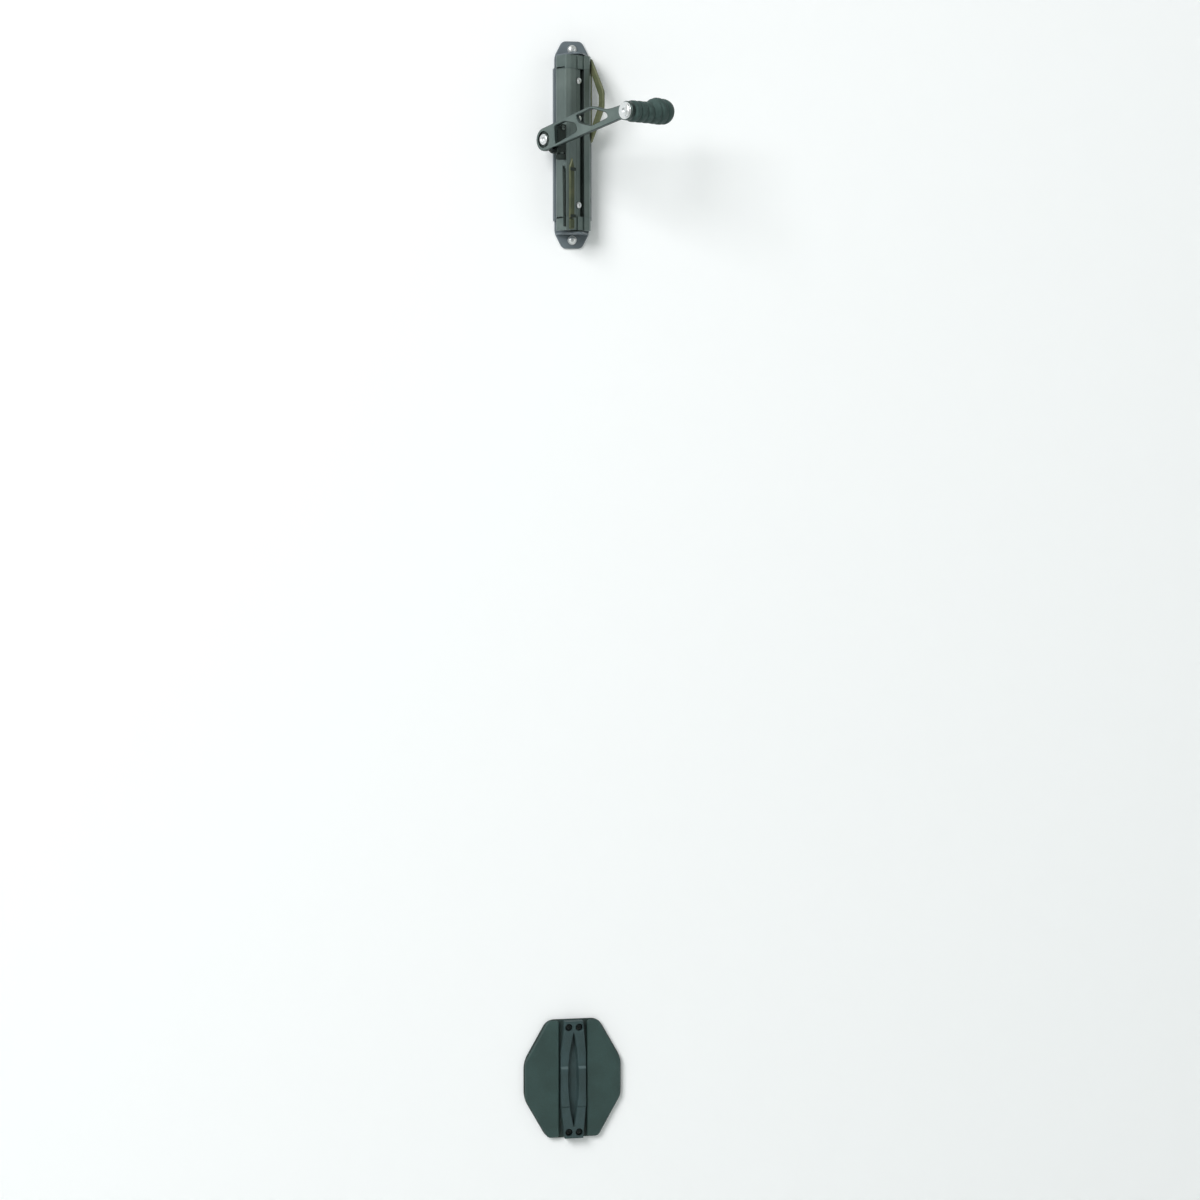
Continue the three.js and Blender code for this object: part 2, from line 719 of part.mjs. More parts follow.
const knobTop = carrierBottom - seatGap;
const knobBottom = knobTop - knobHeight;
const shoulderTop = plungerTop - seatGap;

function plungerPin() {
  const foot = knobTop - knobHeight / 2;
  const shoulder = shoulderTop - plungerShoulderHeight;
  const points = [
    [0, foot], [plungerPinRadius, foot], [plungerPinRadius, shoulder],
    [plungerShoulderRadius, shoulder], [plungerShoulderRadius, shoulderTop], [0, shoulderTop],
  ];
  return upright(new THREE.LatheGeometry(points.map(([x, y]) => new THREE.Vector2(x, y)), 16));
}
add("plunger_pin", plungerPin(), finishes.steel, plunger);

function knob() {
  const body = upright(rod(knobRadius, knobBottom, knobTop, 24));
  const floor = knobTop - knobHeight / 2 - seatGap;
  const bore = upright(rod(plungerPinRadius + seatGap, floor, knobTop + overrun, 16));
  const grooves = Array.from({ length: knobGrooves }, (_, i) => {
    const angle = (i / knobGrooves) * 2 * Math.PI;
    const bit = upright(rod(knobGrooveRadius, knobBottom - overrun, knobTop + overrun, 6));
    return bit.translate(knobRadius * Math.cos(angle), knobRadius * Math.sin(angle), 0);
  });
  return cut(body, bore, ...grooves);
}
add("plunger_knob", knob(), finishes.dark, plunger);

// A coil of round wire along +Z
class Coil extends THREE.Curve {
  constructor(radius, from, to, turns) {
    super();
    Object.assign(this, { radius, from, to, turns });
  }

  getPoint(t, target = new THREE.Vector3()) {
    const angle = t * this.turns * 2 * Math.PI;
    const z = this.from + (this.to - this.from) * t;
    return target.set(this.radius * Math.cos(angle), this.radius * Math.sin(angle), z);
  }
}

function plungerSpring() {
  const low = carrierBottom + barrelHeight + springWire / 2 + seatGap;
  const high = shoulderTop - plungerShoulderHeight - springWire / 2 - seatGap;
  const path = new Coil(springRadius, low, high, springTurns);
  const section = new THREE.Shape();
  section.absarc(0, 0, springWire / 2, 0, 2 * Math.PI, false);
  const steps = springTurns * 8;
  const options = { steps, extrudePath: path, curveSegments: 5, bevelEnabled: false };
  return new THREE.ExtrudeGeometry(section, options);
}
add("plunger_spring", plungerSpring(), finishes.steel, swivel, plungerX, -plungerAhead, 0);

// Hook arm: heel round the bolt, a truss with two windows, and the boss that the hook screws to
function fromShares(shares) {
  return shares.map(([along, up]) => [along * armReach, up * armRise]);
}

const armBushInner = boltShankRadius + runningGap;
const armBushOuter = armBushInner + bushWall;

function hookArm() {
  const shape = new THREE.Shape();
  const slope = armUndersideSlope * degrees;
  const [peak, dip] = fromShares(armTopShares);
  const low = -Math.PI / 2 + slope;
  const heelTurn = Math.PI * armHeelTurnShare;
  const bossTurn = Math.PI * armBossTurnShare;
  shape.absarc(armReach, armRise, armBossRadius, -Math.PI / 2, bossTurn, false);
  const easeOf = ([x, y], [ax, ay], reach) => {
    const span = Math.hypot(ax - x, ay - y);
    return [x + ((ax - x) * reach) / span, y + ((ay - y) * reach) / span];
  };
  const around = (radius, turn) => [radius * Math.cos(turn), radius * Math.sin(turn)];
  const heelTop = around(armHeelRadius, heelTurn);
  const [bossX, bossY] = around(armBossRadius, bossTurn);
  const bossTop = [armReach + bossX, armRise + bossY];
  shape.lineTo(...easeOf(dip, bossTop, armTopRadius));
  shape.quadraticCurveTo(...dip, ...easeOf(dip, peak, armTopRadius));
  shape.lineTo(...easeOf(peak, dip, armTopRadius));
  shape.quadraticCurveTo(...peak, ...easeOf(peak, heelTop, armTopRadius));
  shape.lineTo(...heelTop);
  shape.absarc(0, 0, armHeelRadius, heelTurn, 2 * Math.PI + low, false);
  const neck = armReach - armBossRadius;
  shape.lineTo(neck, -armHeelRadius / Math.cos(slope) + neck * Math.tan(slope));
  shape.closePath();
  shape.holes.push(roundedOutline(fromShares(rearCutShares), armCutRadius, new THREE.Path()));
  shape.holes.push(roundedOutline(fromShares(frontCutShares), armCutRadius, new THREE.Path()));
  const body = sideways(slab(shape, armThickness, armBevel, 5)).translate(-armGapInner, 0, 0);
  const [from, to] = [armGapInner - overrun, armOuter + overrun];
  const bore = leftward(rod(armBushOuter + runningGap, from, to));
  const recess = leftward(rod(armRecessRadius, recessFloor, to));
  const hookBore = leftward(rod(hookShankRadius + runningGap, from, to, 12));
  hookBore.translate(0, -armReach, armRise);
  return cut(body, bore, recess, hookBore);
}
add("hook_arm", hookArm(), finishes.column, arm);
const armBush = ring(armBushInner, armBushOuter, armGapInner, recessFloor);
add("arm_bush", leftward(armBush), finishes.bearing, arm);

// Hook: a core on the inner side of the boss, and a ribbed sleeve whose tip turns up
const hook = new THREE.Group();
hook.position.set(-armGapInner + seatGap, -armReach, armRise);
arm.add(hook);

function hookCore() {
  const body = rod(coreRadius, 0, sleeveLength - coreTipAcross, 16);
  const thread = rod(hookShankRadius + seatGap, -overrun, coreTipAcross, 12);
  return rightward(cut(body, thread));
}
add("hook_core", hookCore(), finishes.steel, hook);

function smooth(value, from, to) {
  const t = Math.min(1, Math.max(0, (value - from) / (to - from)));
  return t * t * (3 - 2 * t);
}

// The sleeve's middle height and radius at a share of its length
function sleeveForm(share) {
  const ramp = smooth(share, rampStartShare, rampEndShare);
  const along = share * sleeveLength;
  const round = Math.max(0, along - (sleeveLength - tipRoundLength)) / tipRoundLength;
  const drop = 1 - Math.sqrt(Math.max(0, 1 - round * round));
  const radius = shankRadius + (tipRadius - shankRadius) * ramp - (tipRadius - tipRoundRadius) * drop;
  return { radius, lift: tipLift * ramp, tilt: ribBow * ramp };
}

function hookSleeve() {
  const rings = sleeveRibs * ringsPerRib;
  const points = [];
  const addRing = (x, radius, lift, tilt) => {
    for (let side = 0; side < sleeveSides; side += 1) {
      const angle = (side / sleeveSides) * 2 * Math.PI;
      const bow = (tilt * (1 - Math.sin(angle))) / 2;
      points.push(x - bow, radius * Math.cos(angle), lift + radius * Math.sin(angle));
    }
  };
  const bore = coreRadius + seatGap;
  const depth = sleeveLength - coreTipAcross + seatGap;
  for (let i = 0; i <= rings; i += 1) {
    const share = i / rings;
    const { radius, lift, tilt } = sleeveForm(share);
    const phase = (i % ringsPerRib) / ringsPerRib;
    const inRib = share < 1 - tipRoundLength / sleeveLength && phase < 0.5;
    const hump = i > 0 && inRib ? ribHeight : 0;
    addRing(share * sleeveLength, radius + hump, lift, tilt * (1 - share) * smooth(share, 0, rampEndShare));
  }
  const outerRings = rings + 1;
  addRing(depth, bore, 0, 0);
  addRing(0, bore, 0, 0);
  const index = [];
  const quad = (ringA, ringB) => {
    for (let side = 0; side < sleeveSides; side += 1) {
      const next = (side + 1) % sleeveSides;
      const [a, b] = [ringA * sleeveSides + side, ringA * sleeveSides + next];
      const [c, d] = [ringB * sleeveSides + side, ringB * sleeveSides + next];
      index.push(a, b, c, b, d, c);
    }
  };
  for (let i = 0; i < outerRings - 1; i += 1) {
    quad(i, i + 1);
  }
  quad(outerRings, outerRings + 1);
  quad(outerRings + 1, 0);
  const tip = points.length / 3;
  const { lift } = sleeveForm(1);
  points.push(sleeveLength, 0, lift);
  const floor = tip + 1;
  points.push(depth, 0, 0);
  for (let side = 0; side < sleeveSides; side += 1) {
    const next = (side + 1) % sleeveSides;
    const last = (outerRings - 1) * sleeveSides;
    index.push(last + side, last + next, tip);
    index.push(outerRings * sleeveSides + next, outerRings * sleeveSides + side, floor);
  }
  const geometry = new THREE.BufferGeometry();
  geometry.setAttribute("position", new THREE.BufferAttribute(new Float32Array(points), 3));
  geometry.setIndex(index);
  return geometry;
}
add("hook_sleeve", hookSleeve(), finishes.rubber, hook);

const hookScrewSeat = armOuter - armGapInner + 2 * seatGap;
const hookWasher = ring(hookShankRadius + runningGap, hookWasherRadius, 0, hookWasherThickness, 24);
add("hook_washer", leftward(hookWasher), finishes.steel, hook, -hookScrewSeat, 0, 0);
const hookHeadSeat = hookScrewSeat + hookWasherThickness + seatGap;
const hookScrewLength = hookHeadSeat + coreTipAcross / 2;
const hookScrew = screw(hookScrewRadius, hookScrewDome, hookShankRadius, hookScrewLength);
add("hook_screw", leftward(hookScrew), finishes.steel, hook, -hookHeadSeat, 0, 0);

// Lower plate: an eight-sided back, two wings and the cradle between them
function backCorners(inset = 0) {
  const half = backWidth / 2 - inset;
  const top = backHeight / 2 - inset;
  const side = backSideHeight / 2 - inset / 2;
  const narrow = backTopWidth / 2 - inset / 2;
  return { half, top, side, narrow };
}

function lowerBack() {
  const { half, top, side, narrow } = backCorners();
  const right = [[narrow, -top], [half, -side], [half, side], [narrow, top]];
  const left = [[-narrow, top], [-half, side], [-half, -side], [-narrow, -top]];
  return upright(slab(roundedOutline([...right, ...left], backCornerRadius), backThickness, edgeBevel));
}
add("lower_backplate", lowerBack(), finishes.panel, lower);

function wing(sign) {
  const { half, top, side, narrow } = backCorners(wingInset);
  const points = [
    [wingInner, -top], [narrow, -top], [half, -side], [half, side], [narrow, top], [wingInner, top],
  ];
  const all = points.map(([x, z]) => [sign * x, z]);
  const shape = roundedOutline(sign > 0 ? all : all.reverse(), wingCornerRadius);
  return upright(slab(shape, wingThickness, wingBevel)).translate(0, -backThickness - seatGap, 0);
}
add("wing_left", wing(-1), finishes.panel, lower);
add("wing_right", wing(1), finishes.panel, lower);

function tyreCradle() {
  const end = backHeight / 2 - cradleEndInset;
  const back = backThickness + seatGap;
  const profile = [
    [back, -end], [cradleEndOut, -end],
    [cradleBandOut, -cradleStepHalf], [cradleMiddleOut, -cradleBandHalf],
    [cradleMiddleOut, cradleBandHalf], [cradleBandOut, cradleStepHalf],
    [cradleEndOut, end], [back, end],
  ];
  const wide = 2 * cradleHalfWidth;
  const body = sideways(slab(polygon(profile), wide)).translate(cradleHalfWidth, 0, 0);
  const taper = (sign) => {
    const edge = sign * (cradleHalfWidth + overrun);
    const shoulder = cradleStepHalf / end;
    const trim = (z) => [
      [sign * cradleEndHalfWidth, z], [edge, z],
      [edge, z * shoulder], [sign * cradleHalfWidth, z * shoulder],
    ];
    const far = end + seatGap;
    const tools = [far, -far].map((z) => upright(slab(polygon(trim(z)), cradleEndOut + overrun)));
    return join(...tools);
  };
  const grooveHalf = backHeight / 2 - grooveEndInset;
  const radius = (grooveHalf ** 2 + grooveHalfWidth ** 2) / (2 * grooveHalfWidth);
  const sweep = Math.asin(grooveHalf / radius);
  const lens = new THREE.Shape();
  lens.absarc(grooveHalfWidth - radius, 0, radius, -sweep, sweep, false);
  lens.absarc(radius - grooveHalfWidth, 0, radius, Math.PI - sweep, Math.PI + sweep, false);
  lens.closePath();
  const deep = cradleEndOut - cradleMiddleOut + grooveDepth + overrun;
  const groove = upright(slab(lens, deep, 0, 6)).translate(0, -cradleMiddleOut + grooveDepth, 0);
  const sinks = cradleScrewPlaces().map(([x, z]) => {
    const bit = forward(rod(cradleScrewRadius + runningGap, screwSeat(z), cradleEndOut + overrun, 14));
    const shank = forward(rod(stripScrewShankRadius + runningGap, 0, cradleEndOut, 10));
    return join(bit, shank).translate(x, 0, z);
  });
  return cut(body, taper(1), taper(-1), groove, ...sinks);
}

function cradleScrewPlaces() {
  const across = [-cradleScrewAcross, cradleScrewAcross];
  const up = backHeight / 2 - cradleScrewInset;
  return [up, -up].flatMap((z) => across.map((x) => [x, z]));
}

function screwSeat(z) {
  const end = backHeight / 2 - cradleEndInset;
  const slope = (cradleEndOut - cradleBandOut) / (end - cradleStepHalf);
  const face = cradleBandOut + (Math.abs(z) - cradleStepHalf) * slope;
  return face - cradleScrewSunk - cradleScrewHead;
}
add("tyre_cradle", tyreCradle(), finishes.panel, lower);
cradleScrewPlaces().forEach(([x, z], i) => {
  const seat = screwSeat(z) + seatGap;
  const length = seat - backThickness - seatGap;
  const body = forward(screw(cradleScrewRadius, cradleScrewHead, stripScrewShankRadius, length));
  add(`cradle_screw_${i + 1}`, body, finishes.dark, lower, x, -seat, z);
});

export default rack;
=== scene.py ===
# %% [markdown]
# # A wall rack, dressed for its portrait
# The rack is two metal and plastic units on one wall. The upper one is a column that swings on two
# pins, with an arm that folds up and ends in a rubber hook. The lower one is a moulded plate with a
# cradle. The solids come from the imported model, already at their real size and place. This script
# gives them their finishes, swaps the small turned and moulded pieces for finer ones, and lights
# the whole.

# %% Load the frame
import json
import math

import bmesh
import bpy
from mathutils import Matrix, Vector

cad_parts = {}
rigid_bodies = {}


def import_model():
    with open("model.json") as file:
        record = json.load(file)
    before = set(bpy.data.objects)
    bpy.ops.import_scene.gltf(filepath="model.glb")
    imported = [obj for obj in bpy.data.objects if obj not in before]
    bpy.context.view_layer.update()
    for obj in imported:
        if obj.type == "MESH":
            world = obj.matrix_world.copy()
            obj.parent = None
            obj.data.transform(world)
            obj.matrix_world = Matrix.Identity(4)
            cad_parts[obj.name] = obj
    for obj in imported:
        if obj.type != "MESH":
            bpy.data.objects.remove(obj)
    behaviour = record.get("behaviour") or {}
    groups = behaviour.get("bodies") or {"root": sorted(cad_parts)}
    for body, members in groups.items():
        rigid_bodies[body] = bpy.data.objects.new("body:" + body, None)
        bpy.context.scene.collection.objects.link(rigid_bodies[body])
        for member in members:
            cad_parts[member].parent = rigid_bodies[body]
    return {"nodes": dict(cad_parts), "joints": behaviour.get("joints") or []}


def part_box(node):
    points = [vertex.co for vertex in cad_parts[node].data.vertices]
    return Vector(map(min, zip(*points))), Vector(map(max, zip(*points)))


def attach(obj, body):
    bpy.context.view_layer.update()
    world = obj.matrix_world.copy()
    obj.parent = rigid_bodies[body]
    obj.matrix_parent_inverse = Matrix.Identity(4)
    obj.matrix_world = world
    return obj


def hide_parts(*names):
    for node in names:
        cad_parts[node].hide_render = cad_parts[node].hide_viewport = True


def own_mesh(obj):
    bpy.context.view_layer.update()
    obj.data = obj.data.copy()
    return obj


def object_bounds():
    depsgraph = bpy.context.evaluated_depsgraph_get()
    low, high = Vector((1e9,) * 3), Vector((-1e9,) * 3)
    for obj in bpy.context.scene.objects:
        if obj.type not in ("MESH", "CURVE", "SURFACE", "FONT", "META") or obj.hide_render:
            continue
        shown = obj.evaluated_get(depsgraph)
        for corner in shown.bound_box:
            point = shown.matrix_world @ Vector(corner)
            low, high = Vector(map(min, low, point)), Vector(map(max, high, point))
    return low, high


for start_object in list(bpy.data.objects):
    bpy.data.objects.remove(start_object)
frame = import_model()
cad_low, cad_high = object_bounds()
print("solids:", len(frame["nodes"]), "size in mm:", [round(v * 1000) for v in cad_high - cad_low])

# %% [markdown]
# ## Where the moving parts are
# The column is drawn swung to the right, so its own axes don't line up with the wall. The joints in
# the record hold those axes: the column's pins stand upright, and the arm folds about a bolt that
# runs across the column. Everything on the column is placed in a frame made from these two lines,
# so nothing has to be measured by eye.

# %% The column's own frame
MM = 0.001
joints = {joint["name"]: joint for joint in frame["joints"]}
pins = Vector(joints["column_swing"]["pos_m"])
up = Vector((0, 0, 1))
rightward = -Vector(joints["arm_fold"]["axis"]).normalized()
backward = up.cross(rightward)
outward = Vector((0, -1, 0))
column_frame = Matrix((rightward, backward, up)).transposed().to_4x4()
column_frame.translation = pins
print("column turned by", round(math.degrees(math.atan2(rightward.y, rightward.x)), 1), "degrees")

# %% [markdown]
# ## Camera
# The photograph was taken from the left of the rack, a little below the upper unit and well above
# the lower one, about three and a third metres from the wall. The camera stands there too, with a
# longer lens that lets the rack fill the height of the picture. The lens is worked out from the
# angle that the rack spans, so it stays right if the rack changes.

# %% The camera at the photograph's viewpoint
EYE = Vector((-0.65, -3.35, -0.29))
MARGIN = 1.07
target = (cad_low + cad_high) / 2
camera = bpy.data.objects.new("camera", bpy.data.cameras.new("camera"))
bpy.context.scene.collection.objects.link(camera)
bpy.context.scene.camera = camera
camera.location = EYE
camera.rotation_euler = (target - EYE).to_track_quat("-Z", "Y").to_euler()
reach = (target - EYE).length
half_height = (cad_high.z - cad_low.z) / 2 * MARGIN
camera.data.lens = camera.data.sensor_width / 2 * reach / half_height
camera.data.clip_end = 60
print("lens", round(camera.data.lens, 1), "mm from", round(reach, 2), "m")

# %% [markdown]
# ## Tools for materials
# Colours are written as the hex values that a picture shows, and one function turns them into the
# linear numbers that the renderer works with. A second function adds a node, sets it and links it.
# Small ones built on it make a noise, a mix or a bump, which keeps each material short enough to
# read as a recipe. Pattern sizes are given in millimetres, because the model is life size.

# %% Colour and node helpers
def linear(hex_colour):
    channels = [int(hex_colour[i:i + 2], 16) / 255 for i in (1, 3, 5)]
    turned = [c / 12.92 if c <= 0.04045 else ((c + 0.055) / 1.055) ** 2.4 for c in channels]
    return (*turned, 1)


def add(tree, kind, inputs=None, **settings):
    node = tree.nodes.new(kind)
    for name, value in settings.items():
        setattr(node, name, value)
    for name, value in (inputs or {}).items():
        if isinstance(value, bpy.types.NodeSocket):
            tree.links.new(value, node.inputs[name])
        else:
            node.inputs[name].default_value = value
    return node


def per(size_mm):
    """The texture scale at which one feature of a pattern is this many millimetres."""
    return 1000 / size_mm


def noise(tree, place, size_mm, detail, **more):
    """A grey noise whose features are this many millimetres."""
    settings = {"Vector": place, "Scale": per(size_mm), "Detail": detail, **more}
    return add(tree, "ShaderNodeTexNoise", settings).outputs["Fac"]


def pits(tree, place, size_mm):
    """Round cells of this many millimetres, grey by the distance to their middles."""
    settings = {"Vector": place, "Scale": per(size_mm)}
    return add(tree, "ShaderNodeTexVoronoi", settings).outputs["Distance"]


def stretched(tree, place, scale):
    return add(tree, "ShaderNodeMapping", {"Vector": place, "Scale": scale}).outputs["Vector"]


def mix_greys(tree, share, first, second):
    settings = {"Factor": share, "A": first, "B": second}
    return add(tree, "ShaderNodeMix", settings, data_type="FLOAT").outputs["Result"]


def mix_colours(tree, share, first, second):
    """Sockets 6, 7 and 2 of this node hold colours. Their names also belong to other sockets."""
    settings = {"Factor": share, 6: first, 7: second}
    return add(tree, "ShaderNodeMix", settings, data_type="RGBA").outputs[2]


def calculate(tree, operation, first, second=0.0):
    settings = {0: first, 1: second}
    return add(tree, "ShaderNodeMath", settings, operation=operation).outputs["Value"]


def start_material(name, **shader_inputs):
    material = bpy.data.materials.new(name)
    material.use_nodes = True
    tree = material.node_tree
    tree.nodes.clear()
    shader = add(tree, "ShaderNodeBsdfPrincipled", shader_inputs)
    add(tree, "ShaderNodeOutputMaterial", {"Surface": shader.outputs["BSDF"]})
    place = add(tree, "ShaderNodeTexCoord").outputs["Object"]
    return material, tree, shader, place


def blend_colours(tree, amount, stops):
    """Runs a grey pattern through a ramp of hex colours."""
    ramp = add(tree, "ShaderNodeValToRGB", {"Fac": amount})
    elements = ramp.color_ramp.elements
    while len(elements) < len(stops):
        elements.new(0.5)
    for element, (position, colour) in zip(elements, stops):
        element.position = position
        element.color = linear(colour)
    return ramp.outputs["Color"]


def spread(tree, amount, low, high):
    """Stretches a grey pattern, which keeps to the middle of its range, to run from low to high."""
    return add(tree, "ShaderNodeMapRange", {
        "Value": amount, "From Min": 0.3, "From Max": 0.7, "To Min": low, "To Max": high,
    }).outputs["Result"]


def step_up(tree, value, start, end):
    """Rises from 0 to 1 while the value goes from start to end."""
    return add(tree, "ShaderNodeMapRange", {
        "Value": value, "From Min": start, "From Max": end}).outputs["Result"]


def skin(tree, shader, colour, roughness):
    tree.links.new(colour, shader.inputs["Base Color"])
    tree.links.new(roughness, shader.inputs["Roughness"])


def relief(tree, shader, height, strength, depth_mm):
    """Lets a pattern stand in for grain that is too fine to model."""
    bump = add(tree, "ShaderNodeBump", {
        "Height": height, "Strength": strength, "Distance": depth_mm * MM})
    tree.links.new(bump.outputs["Normal"], shader.inputs["Normal"])


print("a middle grey, #808080, is", round(linear("#808080")[0], 3), "in linear numbers")

# %% [markdown]
# ## Anodised aluminium, extruded
# The column and the strip in its channel are pushed through a die, which leaves fine lines along
# their length, and are then anodised a grey green. Anodising is a thin hard skin of oxide on bare
# metal, so the colour is in the reflection: the material is fully metallic, and its faces change
# tone as they turn. The lines are a noise that is stretched along Z until it becomes stripes.

# %% The extruded finish
def extruded_aluminium():
    material, tree, shader, place = start_material(
        "anodised_aluminium_extruded", Metallic=1.0, Roughness=0.42)
    # Real die lines are about 0.1 mm apart. These are 0.7 mm, so that a metre away they still show.
    lines = noise(tree, stretched(tree, place, (1, 1, 0.004)), 0.7, 3.0)
    clouds = noise(tree, place, 35, 4.0)
    colour = blend_colours(tree, mix_greys(tree, 0.35, clouds, lines), [
        (0.32, "#6a7675"), (0.5, "#76827f"), (0.68, "#828e8a")])
    skin(tree, shader, colour, spread(tree, lines, 0.36, 0.48))
    relief(tree, shader, lines, 0.12, 0.05)
    return material


anodised_extruded = extruded_aluminium()
print("made", anodised_extruded.name)

# %% [markdown]
# ## Anodised aluminium, bead blasted
# The arm and the end caps are cast or cut, so they have no die lines. They are blasted with fine
# beads before anodising, and the tiny dents scatter light and make the surface satin. Handling
# leaves faint polished patches, which lower the roughness here and there. The arm's sides get a
# darker colour, which is painted shade for the shade on its sides and on the walls of its
# windows. How far a normal lies along the arm's bolt tells a face from a side.

# %% The blasted finish
def blasted_aluminium(name, painted_shade_sides=None):
    material, tree, shader, place = start_material(name, Metallic=1.0, Roughness=0.46)
    dents = noise(tree, place, 0.6, 2.0)
    patches = noise(tree, place, 28, 5.0, Roughness=0.6)
    colour = blend_colours(tree, patches, [(0.3, "#6b7877"), (0.52, "#788582"), (0.72, "#84908c")])
    # Painted shade: faces whose normal lies across the bolt, the arm's sides, get the darker colour.
    if painted_shade_sides:
        normal = add(tree, "ShaderNodeTexCoord").outputs["Normal"]
        along = add(tree, "ShaderNodeVectorMath", {0: normal, 1: rightward},
                    operation="DOT_PRODUCT").outputs["Value"]
        size = calculate(tree, "ABSOLUTE", along)
        colour = mix_colours(tree, step_up(tree, size, 0.6, 0.93), linear(painted_shade_sides), colour)
    skin(tree, shader, colour, spread(tree, patches, 0.52, 0.38))
    relief(tree, shader, dents, 0.18, 0.06)
    return material


anodised_blasted = blasted_aluminium("anodised_aluminium_blasted")
# The arm's copy has painted shade on its sides.
anodised_arm = blasted_aluminium("anodised_aluminium_painted_shade_sides", "#3a4543")
print("made", anodised_blasted.name, "and", anodised_arm.name)

# %% [markdown]
# ## Powder coat on steel
# The folded wall plate, the pivot ears and the pins are steel with a baked powder coat. The powder
# melts into a skin with a shallow ripple, like the peel of an orange, about a millimetre across.
# The coat isn't metallic: light enters it, so its own grey shows, with a soft gloss on top.

# %% The powder coat
def powder_coat():
    material, tree, shader, place = start_material(
        "polyester_powder_coat", Metallic=0.0, Roughness=0.48, IOR=1.5)
    peel = noise(tree, place, 1.3, 2.0)
    speckle = noise(tree, place, 0.5, 1.0)
    grime = noise(tree, place, 30, 5.0)
    colour = blend_colours(tree, mix_greys(tree, 0.3, grime, speckle), [
        (0.32, "#596268"), (0.5, "#626c72"), (0.68, "#6b767c")])
    skin(tree, shader, colour, spread(tree, grime, 0.42, 0.56))
    relief(tree, shader, peel, 0.25, 0.08)
    return material


coated_steel = powder_coat()
print("made", coated_steel.name)

# %% [markdown]
# ## Olive passivated steel
# The guard, the rest bar and its foot are zinc plated steel, dipped in a chromate bath that leaves
# an olive film a few hundred nanometres thick. A film that thin colours light by interference, so
# the olive drifts towards gold and brown in patches. Two noises of different size steer the drift.
# The film is milky and scatters part of the light before it reaches the zinc, so the material is
# only partly metallic. The bar and its foot get a darker copy of the colours, which is painted
# shade for the shadow that falls on them.

# %% The passivated finish
def passivated_steel(name, stops):
    material, tree, shader, place = start_material(name, Metallic=0.4, Roughness=0.45)
    drift = noise(tree, place, 16, 4.0, Distortion=0.6)
    grain = noise(tree, stretched(tree, place, (1, 1, 0.03)), 0.8, 2.0)
    colour = blend_colours(tree, mix_greys(tree, 0.25, drift, grain), stops)
    skin(tree, shader, colour, spread(tree, grain, 0.4, 0.52))
    relief(tree, shader, grain, 0.15, 0.05)
    return material


passivated = passivated_steel("olive_passivated_steel", [
    (0.3, "#525840"), (0.45, "#60674b"), (0.58, "#6d7155"), (0.72, "#767059")])
# Painted shade: a darker copy of the olive colours, for the rest bar and its foot.
passivated_painted_shade = passivated_steel("olive_passivated_steel_painted_shade", [
    (0.3, "#38412f"), (0.45, "#434b36"), (0.58, "#4f553c"), (0.72, "#565340")])
print("made", passivated.name, "and", passivated_painted_shade.name)

# %% [markdown]
# ## Zinc plated steel
# Screws, washers, bolts and the plunger's spring are bright zinc plated. Zinc is a cool, slightly
# milky mirror, with a faint mottle where the crystals catch light in different ways. It is what
# makes the screw heads read as white dots from across a room. The small screw of the carrier and
# the plunger's barrel and pin are burnished, which is the same surface in a darker grey.

# %% The zinc plate
def plated_steel(name, stops):
    material, tree, shader, place = start_material(name, Metallic=1.0, Roughness=0.25)
    fine = noise(tree, place, 3, 4.0)
    colour = blend_colours(tree, mix_greys(tree, 0.3, fine, pits(tree, place, 0.9)), stops)
    skin(tree, shader, colour, spread(tree, fine, 0.26, 0.42))
    return material


zinc = plated_steel("bright_zinc_plate", [(0.25, "#dde1e4"), (0.5, "#ebedee"), (0.75, "#f4f3f0")])
burnished = plated_steel(
    "burnished_steel", [(0.25, "#56605e"), (0.5, "#66706d"), (0.75, "#78807c")])
print("made", zinc.name, "and", burnished.name)

# %% [markdown]
# ## Black oxide steel
# The cradle's screws and the arm's stop pin are blackened in a hot oxide bath. The film is thin
# and oily, nearly black, with brown showing where it has rubbed. The ring round the arm's bolt has
# worn to a dark grey.

# %% The black oxide
def black_oxide(name, stops):
    material, tree, shader, place = start_material(name, Metallic=1.0, Roughness=0.4)
    rub = noise(tree, place, 2.5, 5.0)
    skin(tree, shader, blend_colours(tree, rub, stops), spread(tree, rub, 0.48, 0.32))
    return material


blackened = black_oxide(
    "black_oxide_steel", [(0.35, "#232829"), (0.55, "#2d3232"), (0.75, "#45423d")])
worn_oxide = black_oxide(
    "worn_oxide_steel", [(0.35, "#3a4341"), (0.55, "#48524f"), (0.75, "#585e58")])
print("made", blackened.name, "and", worn_oxide.name)

# %% [markdown]
# ## Glass filled nylon
# The carrier that joins the arm to the column is a dark moulded block of nylon with glass fibre in
# it, and so are the knob, the thrust washer, the tapered bracket beside the bar and the bands
# across it. The fibres make the skin slightly streaky and dull, so the roughness varies and the
# colour has short pale flecks.

# %% The nylon
def filled_nylon():
    material, tree, shader, place = start_material(
        "glass_filled_nylon", Metallic=0.0, Roughness=0.6, IOR=1.4)
    fibre = noise(tree, stretched(tree, place, (1, 1, 0.3)), 0.7, 3.0)
    colour = blend_colours(tree, fibre, [(0.35, "#131d19"), (0.55, "#1b2723"), (0.75, "#2d3a35")])
    skin(tree, shader, colour, spread(tree, fibre, 0.54, 0.68))
    relief(tree, shader, fibre, 0.2, 0.06)
    return material


nylon = filled_nylon()
print("made", nylon.name)

# %% [markdown]
# ## Acetal bearings
# The bushes are turned from acetal, a waxy off-white plastic. A little light travels inside it
# before it comes out again, so it gets a trace of subsurface scattering, and the lathe leaves fine
# rings.

